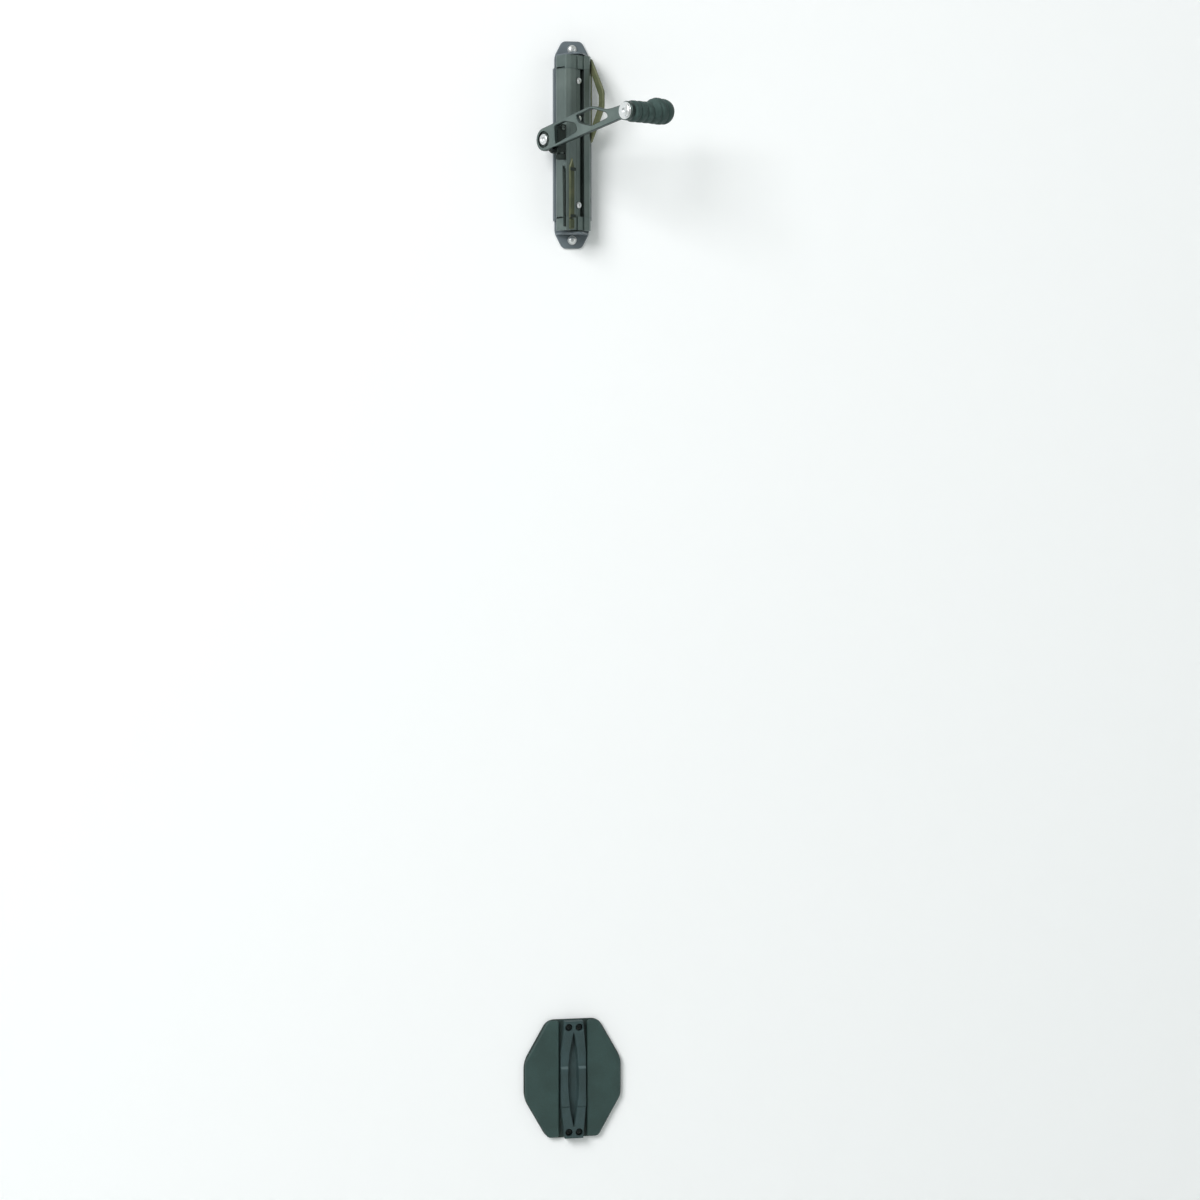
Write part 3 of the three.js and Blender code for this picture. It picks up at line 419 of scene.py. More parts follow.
# %% The acetal
def acetal_plastic():
    material, tree, shader, place = start_material("acetal", **{
        "Metallic": 0.0, "Roughness": 0.35, "IOR": 1.48,
        "Subsurface Weight": 0.1, "Subsurface Scale": 1.5 * MM,
    })
    rings = noise(tree, stretched(tree, place, (0.05, 0.05, 1)), 0.4, 2.0)
    colour = blend_colours(tree, rings, [(0.35, "#c4c4ba"), (0.65, "#d6d6cd")])
    skin(tree, shader, colour, spread(tree, rings, 0.3, 0.42))
    return material


acetal = acetal_plastic()
print("made", acetal.name)

# %% [markdown]
# ## Moulded rubber
# The hook's sleeve is moulded rubber, dark grey green. Rubber has no hard gloss: its skin is matt
# with a fine grain from the mould, and the crests of the ribs go pale where they are rubbed, so a
# slow noise carries a chalky bloom over it.

# %% The rubber
def moulded_rubber():
    material, tree, shader, place = start_material("moulded_rubber", **{
        "Metallic": 0.0, "Roughness": 0.72, "IOR": 1.45,
        "Sheen Weight": 0.03, "Sheen Roughness": 0.5,
    })
    grain = noise(tree, place, 0.5, 2.0)
    bloom = noise(tree, place, 9, 6.0)
    colour = blend_colours(tree, bloom, [(0.3, "#2c413e"), (0.52, "#354946"), (0.74, "#445855")])
    skin(tree, shader, colour, spread(tree, bloom, 0.66, 0.82))
    relief(tree, shader, grain, 0.3, 0.1)
    return material


rubber = moulded_rubber()
print("made", rubber.name)

# %% [markdown]
# ## Moulded ABS with a spark grain
# The lower plate and its wings are ABS, moulded in a tool whose steel was eroded by sparks. That
# leaves a grain of small round pits that spreads light evenly, so a big dark panel looks calm. A
# Voronoi pattern makes such pits, and a noise breaks them up. The cradle is a softer plastic with
# the same grain.

# %% The grained panel
def grained_abs(name, stops, rough):
    material, tree, shader, place = start_material(name, Metallic=0.0, Roughness=rough, IOR=1.54)
    # The real grain is about 0.3 mm. It is drawn at 0.9 mm, so that it shows in a picture.
    grain = pits(tree, place, 0.9)
    scuffs = noise(tree, place, 26, 6.0, Roughness=0.6)
    colour = blend_colours(tree, mix_greys(tree, 0.2, scuffs, grain), stops)
    skin(tree, shader, colour, spread(tree, scuffs, rough - 0.07, rough + 0.08))
    relief(tree, shader, grain, 0.3, 0.08)
    return material


panel = grained_abs(
    "spark_grained_abs", [(0.28, "#1e3633"), (0.46, "#253e3b"), (0.66, "#2e4845")], 0.58)
backing = grained_abs(
    "dark_grained_abs", [(0.28, "#172826"), (0.46, "#1c2f2c"), (0.66, "#243835")], 0.62)
cradle_skin = grained_abs(
    "soft_touch_tpe", [(0.28, "#1f3334"), (0.46, "#273c3d"), (0.66, "#32484a")], 0.68)
print("made", panel.name, backing.name, "and", cradle_skin.name)

# %% [markdown]
# ## The ledge of the cradle
# The cradle's face drops at a short ledge just above its middle. The ledge faces up, and a paler
# colour is mixed in where the surface faces up between two heights: a painted highlight for the
# light that the ledge catches from above.

# %% The painted highlight on the ledge
LEDGE_LOW, LEDGE_HIGH, LEDGE_FADE = 12.0, 15.6, 0.8


def paint_ledge_highlight(material, middle, tone):
    tree = material.node_tree
    shader = next(node for node in tree.nodes if node.type == "BSDF_PRINCIPLED")
    colour = shader.inputs["Base Color"].links[0].from_socket
    place = add(tree, "ShaderNodeTexCoord").outputs["Object"]
    normal = add(tree, "ShaderNodeNewGeometry").outputs["Normal"]
    height = add(tree, "ShaderNodeSeparateXYZ", {"Vector": place}).outputs["Z"]
    facing_up = add(tree, "ShaderNodeSeparateXYZ", {"Vector": normal}).outputs["Z"]
    low, high, fade = middle + LEDGE_LOW * MM, middle + LEDGE_HIGH * MM, LEDGE_FADE * MM
    above = step_up(tree, height, low - fade, low)
    below = step_up(tree, height, high + fade, high)
    band = calculate(tree, "MULTIPLY", above, below)
    # Painted highlight: the band between the two heights, where the surface faces up.
    highlighted = calculate(tree, "MULTIPLY", band, step_up(tree, facing_up, 0.1, 0.35))
    tree.links.new(mix_colours(tree, highlighted, colour, linear(tone)), shader.inputs["Base Color"])


cradle_low, cradle_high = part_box("tyre_cradle")
cradle_middle = (cradle_low.z + cradle_high.z) / 2
# Painted highlight: a paler colour where the ledge of the cradle faces up.
paint_ledge_highlight(cradle_skin, cradle_middle, "#4b5e60")
print("rubbed the ledge of the cradle, whose middle is at z", round(cradle_middle, 4))

# %% [markdown]
# ## Dressing the solids
# A solid from CAD arrives as loose triangles with knife-sharp edges. Real edges are always a little
# round, and that thin round catches a line of light. Four modifiers give it, and leave the solid's
# own mesh alone: a node group joins the triangles and shades them smooth, Decimate melts flat
# triangles into whole faces, Bevel rounds the edges, and Weighted Normal keeps wide faces flat.

# %% Joined, rounded and smooth
EDGE, FINE_EDGE, FINEST_EDGE = 0.28 * MM, 0.15 * MM, 0.12 * MM
PANEL_EDGE, ARM_EDGE = 0.4 * MM, 0.9 * MM
SHARP = math.radians(28)


def joining_group():
    group = bpy.data.node_groups.new("join_and_smooth", "GeometryNodeTree")
    group.interface.new_socket("Geometry", in_out="INPUT", socket_type="NodeSocketGeometry")
    group.interface.new_socket("Geometry", in_out="OUTPUT", socket_type="NodeSocketGeometry")
    entry = add(group, "NodeGroupInput").outputs["Geometry"]
    plain = add(group, "GeometryNodeRemoveAttribute", {"Geometry": entry, "Name": "custom_normal"})
    joined = add(group, "GeometryNodeMergeByDistance", {
        "Geometry": plain.outputs["Geometry"], "Distance": 0.01 * MM})
    smooth = add(group, "GeometryNodeSetShadeSmooth", {"Geometry": joined.outputs["Geometry"]})
    add(group, "NodeGroupOutput", {"Geometry": smooth.outputs["Geometry"]})
    return group


join_and_smooth = joining_group()


def keep_faces_flat(piece):
    normals = piece.modifiers.new("flat_faces", "WEIGHTED_NORMAL")
    normals.weight = 50
    return normals


def soften(piece, edge=EDGE):
    flat = piece.modifiers.new("whole_faces", "DECIMATE")
    flat.decimate_type = "DISSOLVE"
    flat.angle_limit = math.radians(1)
    bevel = piece.modifiers.new("round_edges", "BEVEL")
    bevel.width = edge
    bevel.segments = 2
    bevel.limit_method = "ANGLE"
    bevel.angle_limit = SHARP
    bevel.miter_outer = "MITER_ARC"
    keep_faces_flat(piece)


def dress(material, *names, edge=EDGE):
    for name in names:
        solid = frame["nodes"][name]
        joiner = solid.modifiers.new("join_and_smooth", "NODES")
        joiner.node_group = join_and_smooth
        soften(solid, edge)
        solid.material_slots[0].link = "OBJECT"
        solid.material_slots[0].material = material


dress(anodised_extruded, "swivel_column", "centre_strip")
dress(anodised_blasted, "upper_cap", "lower_cap")
dress(anodised_arm, "hook_arm", edge=ARM_EDGE)
dress(coated_steel, "wall_plate", "upper_ear", "lower_ear")
dress(coated_steel, "upper_pivot_pin", "lower_pivot_pin", edge=FINE_EDGE)
dress(passivated, "guard_plate")
# The rest bar and its foot take the olive copy with painted shade.
dress(passivated_painted_shade, "rest_bar", "bar_foot")
dress(nylon, "arm_carrier", "collar_upper", "collar_lower", "side_bracket")
dress(blackened, "arm_stop_pin", edge=FINE_EDGE)
dress(worn_oxide, "pivot_ring", edge=FINE_EDGE)
dress(nylon, "thrust_washer", edge=FINEST_EDGE)
dress(acetal, "upper_bush", "lower_bush", "arm_bush", edge=FINEST_EDGE)
dress(panel, "wing_left", "wing_right", edge=PANEL_EDGE)
dress(backing, "lower_backplate", edge=PANEL_EDGE)
dress(zinc, "wall_washer_upper", "wall_washer_lower", "carrier_bolt_upper", "carrier_bolt_lower",
      "hook_core", "hook_washer", edge=FINE_EDGE)
dress(burnished, "plunger_barrel", "plunger_pin", edge=FINE_EDGE)
print("dressed", sum(1 for solid in frame["nodes"].values() if solid.modifiers), "solids")

# %% [markdown]
# ## Turned pieces
# A screw starts as a bar in a lathe, so its body is one outline turned about an axis. A ring of
# points is laid for each point of the outline, and neighbours are joined by faces.

# %% Turning, cutting and placing
def cut_away(piece, cutter, **settings):
    """Takes the cutter out of the piece for good, and removes the cutter."""
    cut = piece.modifiers.new("cut", "BOOLEAN")
    cut.object = cutter
    cut.solver = "EXACT"
    for name, value in settings.items():
        setattr(cut, name, value)
    graph = bpy.context.evaluated_depsgraph_get()
    mesh = bpy.data.meshes.new_from_object(piece.evaluated_get(graph))
    piece.modifiers.clear()
    piece.data = mesh
    bpy.data.objects.remove(cutter)


def new_piece(name, shape, body, material):
    mesh = bpy.data.meshes.new(name)
    bmesh.ops.recalc_face_normals(shape, faces=shape.faces)
    shape.to_mesh(mesh)
    shape.free()
    mesh.shade_smooth()
    piece = bpy.data.objects.new(name, mesh)
    bpy.context.scene.collection.objects.link(piece)
    piece.data.materials.append(material)
    if body:
        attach(piece, body)
    return piece


def angles_round(count):
    return [2 * math.pi * step / count for step in range(count)]


def bridge(shape, rings):
    """Joins each ring of points to the next. A ring of one point is the tip of a fan."""
    sides = max(len(ring) for ring in rings)
    for low, high in zip(rings, rings[1:]):
        for side in range(sides):
            after = (side + 1) % sides
            if len(low) == 1:
                shape.faces.new((low[0], high[after], high[side]))
            elif len(high) == 1:
                shape.faces.new((low[side], low[after], high[0]))
            else:
                shape.faces.new((low[side], low[after], high[after], high[side]))


def turned(outline, sides=56):
    """A body of revolution about Z, from (radius, height) pairs in mm, with a point at each end."""
    shape = bmesh.new()
    rings = []
    for radius, height in outline:
        angles = angles_round(sides if radius else 1)
        rings.append([
            shape.verts.new((radius * MM * math.cos(a), radius * MM * math.sin(a), height * MM))
            for a in angles])
    bridge(shape, rings)
    return shape


def facing(node, axis):
    """A frame at the outer end of a straight CAD solid, whose Z points along axis."""
    low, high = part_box(node)
    middle = (low + high) / 2
    reach = max((v.co - middle).dot(axis) for v in frame["nodes"][node].data.vertices)
    turn = axis.to_track_quat("Z", "Y").to_matrix().to_4x4()
    turn.translation = middle + axis * reach
    length = 2 * reach / MM
    return turn, length


print("the bolt that the arm folds on is", round(facing("pivot_bolt", -rightward)[1], 1), "mm long")

# %% [markdown]
# ## Recesses for the drivers
# The recess in a screw's head is pressed in after turning. Here that is a cut: a Boolean takes a
# cross or a hexagon out of the head, and a very small bevel rounds what the cut leaves.

# %% The two kinds of driver recess
HEAD_EDGE = 0.08 * MM


def cross_recess(width, depth):
    """A tapered cross, wide at the top and narrow at the floor."""
    shape = bmesh.new()
    for long_x in (True, False):
        points = []
        for z, half in ((-depth, width * 0.55), (depth, width * 1.9)):
            across = width * 0.22
            x, y = (half, across) if long_x else (across, half)
            points.append([shape.verts.new((sx * x * MM, sy * y * MM, z * MM))
                           for sx, sy in ((-1, -1), (1, -1), (1, 1), (-1, 1))])
        shape.faces.new(points[0][::-1])
        shape.faces.new(points[1])
        bridge(shape, points)
    return shape


def hex_recess(across, depth):
    radius = across / math.sqrt(3)
    return turned([(0, -depth - radius * 0.3), (radius, -depth), (radius, depth), (0, depth)], 6)


def press_recess(piece, cutter_shape, seat):
    cutter = new_piece("cutter", cutter_shape, None, zinc)
    cutter.data.transform(seat)
    cut_away(piece, cutter, use_self=True)
    bevel = piece.modifiers.new("round_edges", "BEVEL")
    bevel.width = HEAD_EDGE
    bevel.segments = 2
    bevel.limit_method = "ANGLE"
    bevel.angle_limit = SHARP
    keep_faces_flat(piece)


print("recesses: a cross and a hexagon, with edges of", round(HEAD_EDGE / MM, 2), "mm")

# %% [markdown]
# ## Screws and bolts
# A pan head is a low dome on a short wall. A button head is the same with a wider dome and a
# hexagon socket. Each is made at the place and length of the solid that it stands for, which
# `facing` measures, so a screw can't drift off its hole.

# %% A headed fastener
def fastener(node, body, axis, head, dome, shank, recess, material=zinc):
    seat, length = facing(node, axis)
    crown = [(head * math.cos(t), -dome + dome * 0.3 + dome * 0.7 * math.sin(t))
             for t in [math.pi / 2 * i / 9 for i in range(9)]]
    outline = [(0, -length), (shank * 0.8, -length), (shank, -length + shank * 0.25),
               (shank, -dome), (head, -dome), *crown, (0, 0)]
    piece = new_piece(node + "_turned", turned(outline), body, material)
    piece.data.transform(seat)
    press_recess(piece, recess, seat)
    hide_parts(node)


for name in ("wall_screw_upper", "wall_screw_lower"):
    fastener(name, "wall_units", outward, 4.3, 2.4, 2.4, cross_recess(1.35, 1.5))
for number in (1, 2, 3):
    fastener(f"strip_screw_{number}", "column", -backward, 3.6, 1.8, 1.6, cross_recess(1.1, 1.2))
for name in ("guard_screw_upper", "guard_screw_lower"):
    fastener(name, "column", rightward, 3.2, 1.8, 1.6, cross_recess(1.0, 1.2))
fastener("carrier_screw", "column", -backward, 2.6, 1.8, 1.6, hex_recess(2.0, 1.2), burnished)
fastener("hook_screw", "arm", -rightward, 7.6, 2.6, 3.2, hex_recess(5.0, 2.2))
for number in (1, 2, 3, 4):
    fastener(f"cradle_screw_{number}", "wall_units", outward, 4.0, 2.0, 1.6,
             cross_recess(1.3, 1.3), blackened)
print("fasteners turned: 13")

# %% [markdown]
# ## The bolt that the arm folds on
# It is a socket cap screw: a straight round head with a chamfered rim and a deep hexagon socket. It
# sits in a round pocket of the arm, with a dark ring round it, which makes it the eye of the arm.

# %% The pivot bolt
def pivot_bolt():
    seat, length = facing("pivot_bolt", -rightward)
    outline = [(0, -length), (3.4, -length), (4, -length + 0.6), (4, -3.6), (5.8, -3.6), (6, -3.4),
               (6, -0.5), (5.5, 0), (3.4, 0), (3.1, -0.25), (0, -0.25)]
    piece = new_piece("pivot_bolt_turned", turned(outline), "column", zinc)
    piece.data.transform(seat)
    press_recess(piece, hex_recess(5.0, 2.3), seat)
    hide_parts("pivot_bolt")
    print("pivot bolt faces:", len(piece.data.polygons))


pivot_bolt()

# %% [markdown]
# ## The plunger's knob
# The knob under the carrier is pulled down by two fingers, so its rim is fluted for grip. The rim's
# radius dips at each flute, which is easier to make point by point than to cut twenty times.

# %% A fluted knob
FLUTES, FLUTE_DEPTH, SIDES_A_FLUTE = 20, 0.42, 8


def knob():
    low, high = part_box("plunger_knob")
    centre = (low + high) / 2
    radius = (high.x - low.x) / 2 / MM
    height = (high.z - low.z) / MM
    levels = [(0, 0.0), (0, 0.55), (0.5, 0.93), (1.3, 1.0), (height - 1.3, 1.0),
              (height - 0.5, 0.93), (height, 0.55), (height, 0.0)]
    shape = bmesh.new()
    rings = []
    for z, share in levels:
        rings.append([])
        for angle in angles_round(FLUTES * SIDES_A_FLUTE if share else 1):
            flute = FLUTE_DEPTH * max(0, math.cos(angle * FLUTES)) ** 2 if share > 0.9 else 0
            r = (radius * share - flute) * MM
            rings[-1].append(shape.verts.new((r * math.cos(angle), r * math.sin(angle), z * MM)))
    bridge(shape, rings)
    piece = new_piece("plunger_knob_fluted", shape, "plunger", nylon)
    piece.data.transform(Matrix.Translation((centre.x, centre.y, low.z)))
    soften(piece, FINEST_EDGE)
    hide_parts("plunger_knob")
    print("knob:", FLUTES, "flutes,", len(piece.data.polygons), "faces")


knob()

# %% [markdown]
# ## The plunger's spring
# The spring stands on the barrel and pushes against the shoulder of the pin. It is a tube swept
# along a helix, ring by ring, and closed at both ends. When the knob is pulled, the pin comes down
# and presses the coil together towards its foot.

# %% A coil along a helix
COIL_WIRE, COIL_TURNS, STEPS_A_TURN, WIRE_SIDES = 0.7, 5, 28, 10


def spring():
    low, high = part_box("plunger_spring")
    axis_x, axis_y = (low.x + high.x) / 2, (low.y + high.y) / 2
    reach = min(high.x - low.x, high.y - low.y) / 2 / MM - COIL_WIRE / 2
    foot, head = low.z / MM + COIL_WIRE / 2, high.z / MM - COIL_WIRE / 2
    steps = COIL_TURNS * STEPS_A_TURN
    shape = bmesh.new()
    rings = []
    for step in range(steps + 1):
        turn = 2 * math.pi * step / STEPS_A_TURN
        out = Vector((math.cos(turn), math.sin(turn), 0))
        centre = out * reach + up * (foot + (head - foot) * step / steps)
        rings.append([])
        for angle in angles_round(WIRE_SIDES):
            rim = out * math.cos(angle) + up * math.sin(angle)
            rings[-1].append(shape.verts.new((centre + rim * COIL_WIRE / 2) * MM))
    bridge(shape, rings)
    shape.faces.new(rings[0])
    shape.faces.new(rings[-1])
    piece = new_piece("plunger_spring_coil", shape, "column", zinc)
    piece.data.transform(Matrix.Translation((axis_x, axis_y, 0)))
    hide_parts("plunger_spring")
    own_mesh(piece)


spring()

# %% [markdown]
# ## The hook's sleeve
# The sleeve is a thick rubber tube closed at its tip. Its first half is level and carries the load,
# then it swells and rises, which stops what hangs on it from sliding off. Broad ribs with narrow
# grooves run round it and lean back on the swollen end. Each ring of points gets its radius from
# three things: the form of the sleeve, the rib it is on, and the rounding of the tip.

# %% The ribbed sleeve
SLEEVE_LENGTH = 59.0
SHANK_RADIUS, TIP_RADIUS, TIP_LIFT = 10.8, 13.6, 2.4
RIBS, RIB_HEIGHT, RIB_LEAN = 6, 0.9, 4.0
ROUND_LENGTH, ROUND_RADIUS = 10.0, 8.0
CORE_TO_TIP, BORE_RADIUS = 16.7, 6.3
SWELL_START, SWELL_END = 0.52, 0.68
LEAN_START, LEAN_FULL = 0.15, 0.8
GROOVE_DEPTH, GROOVE_SHARPNESS = 1.9, 8
SLEEVE_SIDES, SLEEVE_RINGS = 72, 150


def eased(value, start, end):
    t = min(1, max(0, (value - start) / (end - start)))
    return t * t * (3 - 2 * t)


def sleeve_radius(share):
    """The radius at this share of the sleeve's length, in mm, with its rib and its rounded tip."""
    along = share * SLEEVE_LENGTH
    over = max(0, along - (SLEEVE_LENGTH - ROUND_LENGTH)) / ROUND_LENGTH
    drop = 1 - math.sqrt(max(0, 1 - over * over))
    radius = SHANK_RADIUS + (TIP_RADIUS - SHANK_RADIUS) * eased(share, SWELL_START, SWELL_END)
    radius -= (TIP_RADIUS - ROUND_RADIUS) * drop
    phase = along / SLEEVE_LENGTH * RIBS % 1
    groove = abs(math.cos(math.pi * phase)) ** GROOVE_SHARPNESS
    return radius + RIB_HEIGHT * (1 - GROOVE_DEPTH * groove) * (1 - over)


def sleeve():
    local = [column_frame.inverted() @ v.co for v in frame["nodes"]["hook_sleeve"].data.vertices]
    start = min(p.x for p in local)
    mouth = [p for p in local if p.x < start + 0.5 * MM]
    middle_y = (min(p.y for p in mouth) + max(p.y for p in mouth)) / 2
    middle_z = (min(p.z for p in mouth) + max(p.z for p in mouth)) / 2
    seat = column_frame.copy()
    seat.translation = column_frame @ Vector((start, middle_y, middle_z))
    angles = angles_round(SLEEVE_SIDES)
    shape = bmesh.new()
    rings = []
    for x in (SLEEVE_LENGTH - CORE_TO_TIP, 0.0):
        rings.append([shape.verts.new((x * MM, BORE_RADIUS * MM * math.cos(angle),
                                       BORE_RADIUS * MM * math.sin(angle))) for angle in angles])
    for share in [i / SLEEVE_RINGS for i in range(SLEEVE_RINGS + 1)]:
        radius = sleeve_radius(share)
        lift = TIP_LIFT * eased(share, SWELL_START, SWELL_END)
        lean = RIB_LEAN * eased(share, LEAN_START, LEAN_FULL) * (1 - eased(share, LEAN_FULL, 1))
        rings.append([])
        for angle in angles:
            x = share * SLEEVE_LENGTH - lean * (1 + math.sin(angle)) / 2
            y = radius * math.cos(angle)
            z = lift + radius * math.sin(angle)
            rings[-1].append(shape.verts.new((x * MM, y * MM, z * MM)))
    rings.append([shape.verts.new((SLEEVE_LENGTH * MM, 0, TIP_LIFT * MM))])
    bridge(shape, rings)
    shape.faces.new(rings[0])
    piece = new_piece("hook_sleeve_ribbed", shape, "arm", rubber)
    piece.data.transform(seat)
    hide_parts("hook_sleeve")
    print("sleeve faces:", len(piece.data.polygons))


sleeve()

# %% [markdown]
# ## The cradle
# The cradle is a soft moulded saddle between the two wings. Its face is hollow along its length, so
# its ends stand out more than its middle, and a lens-shaped groove runs down its centre. It is made
# as a height map: a grid of points across and along, each pushed out by the form of the saddle and
# let down in a round at the border, with walls folded back round it. Four round pockets for the
# screws are cut afterwards.

# %% The saddle as a height map
GROOVE_HALF_LENGTH, GROOVE_HALF_WIDTH, GROOVE_FLOOR = 56.0, 6.4, 3.9
FLOOR_SHARE, EDGE_SHARE = 0.62, 1.06
BORDER_ROUND, BORDER_STEPS = 0.6, 4
PROFILE = [(0, 8.8), (13, 8.8), (31, 10.0), (68, 13.6)]
BAND_HEIGHT, BAND_START, BAND_FULL = 1.7, -32.4, -31.0
WAIST_HALF_LENGTH, WAIST_HALF_WIDTH, END_HALF_WIDTH = 31, 14.6, 10.6
POCKET_RADIUS, POCKET_DEPTH, POCKET_CLEARANCE, POCKET_SIDES = 4.25, 2.3, 9, 40
STEPS_ALONG = 228


def groove_half(z):
    """Half the width of the lens-shaped groove, in mm, at z along."""
    if abs(z) >= GROOVE_HALF_LENGTH:
        return 0
    radius = (GROOVE_HALF_LENGTH ** 2 + GROOVE_HALF_WIDTH ** 2) / (2 * GROOVE_HALF_WIDTH)
    return GROOVE_HALF_WIDTH - radius + math.sqrt(radius ** 2 - z ** 2)


def places_between(stops, counts):
    """The places from the first stop to the last, with so many equal steps in each stretch."""
    places = [stops[0]]
    for start, end, count in zip(stops, stops[1:], counts):
        places += [start + (end - start) * step / count for step in range(1, count + 1)]
    return places


def border_drop(distance):
    """How far the face falls, in mm, at this distance inside its border."""
    share = max(0, 1 - distance / BORDER_ROUND)
    return BORDER_ROUND * (1 - math.sqrt(max(0, 1 - share * share)))


def columns_across(half, z):
    """Where the grid's columns stand. They crowd the groove's walls, which keeps its edge smooth."""
    lens = max(0.5, groove_half(z))
    right = [lens * FLOOR_SHARE, lens * EDGE_SHARE, half - BORDER_ROUND, half]
    stops = [-x for x in reversed(right)] + right
    return places_between(stops, (BORDER_STEPS, 13, 12, 8, 12, 13, BORDER_STEPS))


def cradle_height(x, z):
    """How far the face stands out, in mm, at x across and z along."""
    far = abs(z)
    for (z0, h0), (z1, h1) in zip(PROFILE, PROFILE[1:]):
        if far <= z1:
            face = h0 + (h1 - h0) * (far - z0) / (z1 - z0)
            break
    else:
        face = PROFILE[-1][1]
    face += BAND_HEIGHT * (eased(z, BAND_START, BAND_FULL) - eased(z, LEDGE_LOW, LEDGE_HIGH))
    half = groove_half(z)
    if half > 0.3:
        wall = eased(abs(x) / half, FLOOR_SHARE, EDGE_SHARE)
        face = GROOVE_FLOOR + (face - GROOVE_FLOOR) * wall
    return face


def cradle():
    low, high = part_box("tyre_cradle")
    base = -high.y / MM
    middle = (low.z + high.z) / 2
    end = (high.z - low.z) / 2 / MM
    inner = end - BORDER_ROUND
    shape = bmesh.new()
    grid = []
    for z in places_between([-end, -inner, inner, end], (BORDER_STEPS, STEPS_ALONG, BORDER_STEPS)):
        narrowed = max(0, abs(z) - WAIST_HALF_LENGTH) / (end - WAIST_HALF_LENGTH)
        half = WAIST_HALF_WIDTH - (WAIST_HALF_WIDTH - END_HALF_WIDTH) * narrowed
        grid.append([])
        for x in columns_across(half, z):
            height = cradle_height(x, z) - border_drop(min(half - abs(x), end - abs(z)))
            grid[-1].append(shape.verts.new((x * MM, -height * MM, z * MM)))
    for a, b in zip(grid, grid[1:]):
        for i in range(len(a) - 1):
            shape.faces.new((a[i], a[i + 1], b[i + 1], b[i]))
    rim = [e for e in shape.edges if e.is_boundary]
    walls = bmesh.ops.extrude_edge_only(shape, edges=rim)["geom"]
    for vert in [g for g in walls if isinstance(g, bmesh.types.BMVert)]:
        vert.co.y = -base * MM
    bmesh.ops.contextual_create(shape, geom=[e for e in shape.edges if e.is_boundary])
    piece = new_piece("tyre_cradle_moulded", shape, "wall_units", cradle_skin)
    piece.data.transform(Matrix.Translation((0, 0, middle)))
    for number in (1, 2, 3, 4):
        seat = facing(f"cradle_screw_{number}", outward)[0]
        pocket = turned([(0, -POCKET_DEPTH), (POCKET_RADIUS, -POCKET_DEPTH),
                         (POCKET_RADIUS, POCKET_CLEARANCE), (0, POCKET_CLEARANCE)], POCKET_SIDES)
        cutter = new_piece("cutter", pocket, None, zinc)
        cutter.data.transform(seat)
        cut_away(piece, cutter)
    piece.data.set_sharp_from_angle(angle=math.radians(50))
    keep_faces_flat(piece).keep_sharp = True
    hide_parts("tyre_cradle")
    print("cradle faces:", len(piece.data.polygons))


cradle()

# %% [markdown]
# ## Wall and floor
# The rack only makes sense on a wall, so a pale painted wall stands right behind it and takes its
# shadow, with a pale floor well below. Neither belongs to the rack. Both let the camera see through
# their backs, so that the rack can be looked at from behind and from below, and neither casts a
# shadow, because no lamp stands on the far side.

# %% The stage
def stage_paint(name, colour):
    material = bpy.data.materials.new(name)
    material.use_nodes = True
    tree = material.node_tree
    tree.nodes.clear()
    paint = add(tree, "ShaderNodeBsdfDiffuse", {"Color": linear(colour), "Roughness": 0.5})
    clear = add(tree, "ShaderNodeBsdfTransparent")
    behind = add(tree, "ShaderNodeNewGeometry").outputs["Backfacing"]
    shadow = add(tree, "ShaderNodeLightPath").outputs["Is Shadow Ray"]
    unseen = calculate(tree, "MAXIMUM", behind, shadow)
    mixed = add(tree, "ShaderNodeMixShader", {
        "Fac": unseen, 1: paint.outputs["BSDF"], 2: clear.outputs["BSDF"]})
    add(tree, "ShaderNodeOutputMaterial", {"Surface": mixed.outputs["Shader"]})
    return material


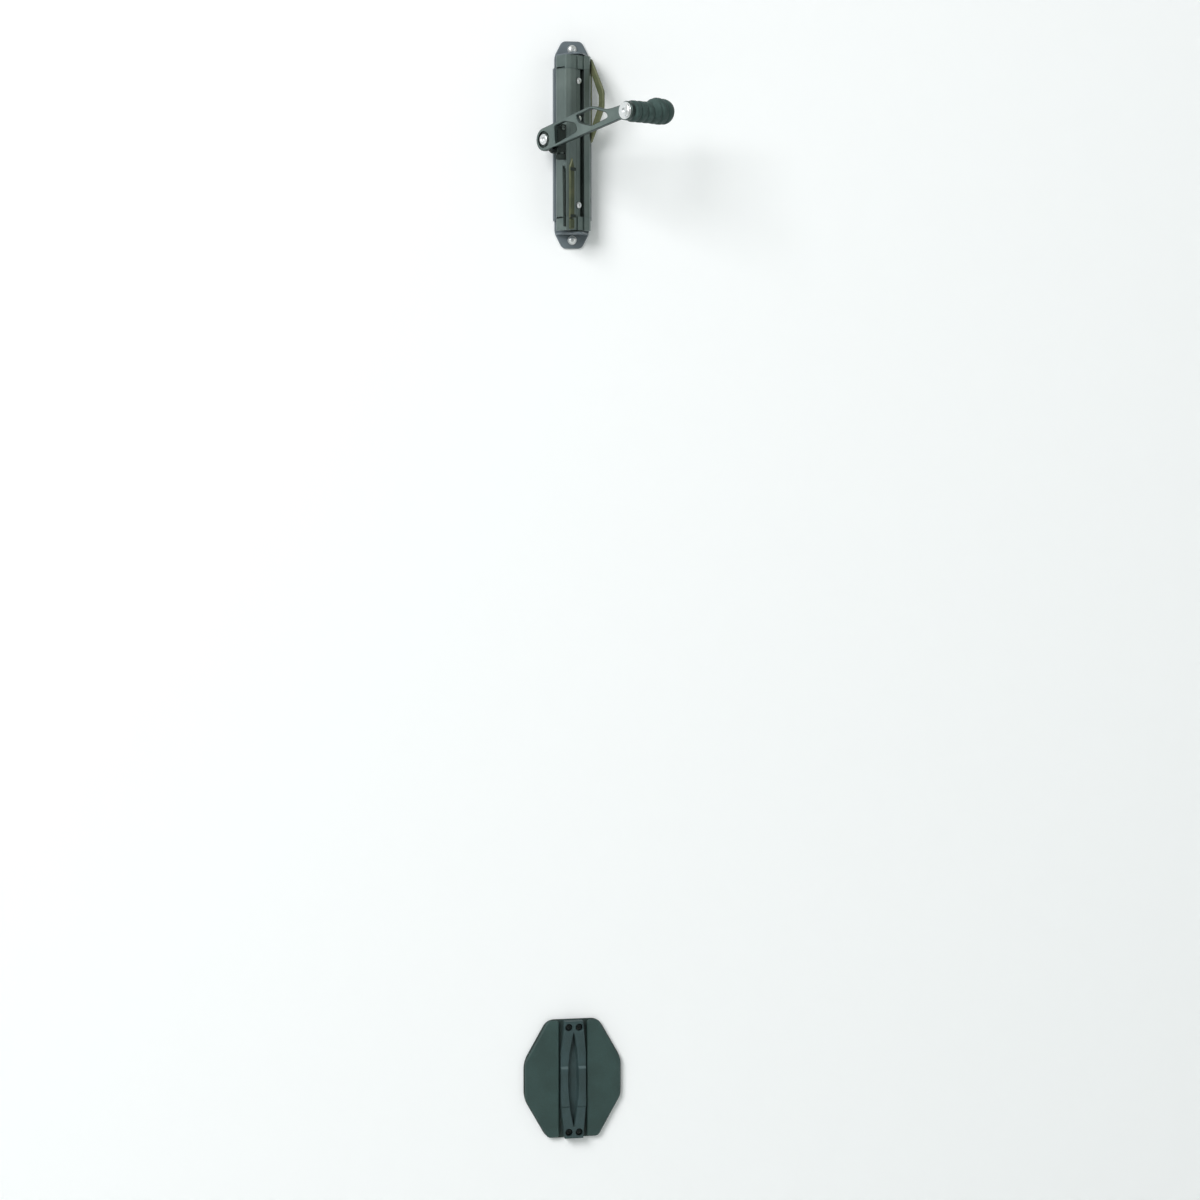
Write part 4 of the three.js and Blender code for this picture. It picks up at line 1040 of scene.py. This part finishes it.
def stage_plane(name, corners, colour):
    mesh = bpy.data.meshes.new(name)
    mesh.from_pydata(corners, [], [(0, 1, 2, 3)])
    plane = bpy.data.objects.new(name, mesh)
    bpy.context.scene.collection.objects.link(plane)
    mesh.materials.append(stage_paint(name + "_paint", colour))


ROOM_HALF_WIDTH, ROOM_TOP, ROOM_FRONT = 7, 4, -9
wall_y = cad_high.y + 0.4 * MM
floor_z = cad_low.z - 0.55
left, right = -ROOM_HALF_WIDTH, ROOM_HALF_WIDTH
stage_plane("wall", [(left, wall_y, floor_z), (right, wall_y, floor_z),
                     (right, wall_y, ROOM_TOP), (left, wall_y, ROOM_TOP)], "#fbfcfd")
stage_plane("floor", [(left, ROOM_FRONT, floor_z), (right, ROOM_FRONT, floor_z),
                      (right, wall_y, floor_z), (left, wall_y, floor_z)], "#dcdedd")
print("wall at y", round(wall_y, 4), "and floor at z", round(floor_z, 3))

# %% [markdown]
# ## Light
# The photograph has one broad soft light from the upper left and pale walls that fill the rest. A
# large area lamp plays the first, a weaker one on the right keeps the far faces readable, and a
# pale world stands in for the room. Together they light the wall so that a colour comes out about
# as it is written.

# %% Two lamps and the room
def lamp(name, place, aim, size, power):
    light = bpy.data.lights.new(name, "AREA")
    light.size = size
    light.energy = power
    stand = bpy.data.objects.new(name, light)
    bpy.context.scene.collection.objects.link(stand)
    stand.location = place
    stand.rotation_euler = (Vector(aim) - Vector(place)).to_track_quat("-Z", "Y").to_euler()


RACK_MIDDLE = (0, 0, -0.5)
lamp("window", (-3.0, -3.6, 1.9), RACK_MIDDLE, 2.4, 206)
lamp("bounce", (3.0, -3.4, 0.0), RACK_MIDDLE, 2.6, 12)
world = bpy.data.worlds.new("room")
bpy.context.scene.world = world
world.use_nodes = True
world.node_tree.nodes.clear()
sky = add(world.node_tree, "ShaderNodeBackground", {"Color": linear("#f0f7f2"), "Strength": 0.36})
add(world.node_tree, "ShaderNodeOutputWorld", {"Surface": sky.outputs["Background"]})

# %% [markdown]
# ## The view transform
# The picture uses the Standard view transform.

# %% The view transform
bpy.context.scene.view_settings.view_transform = "Standard"
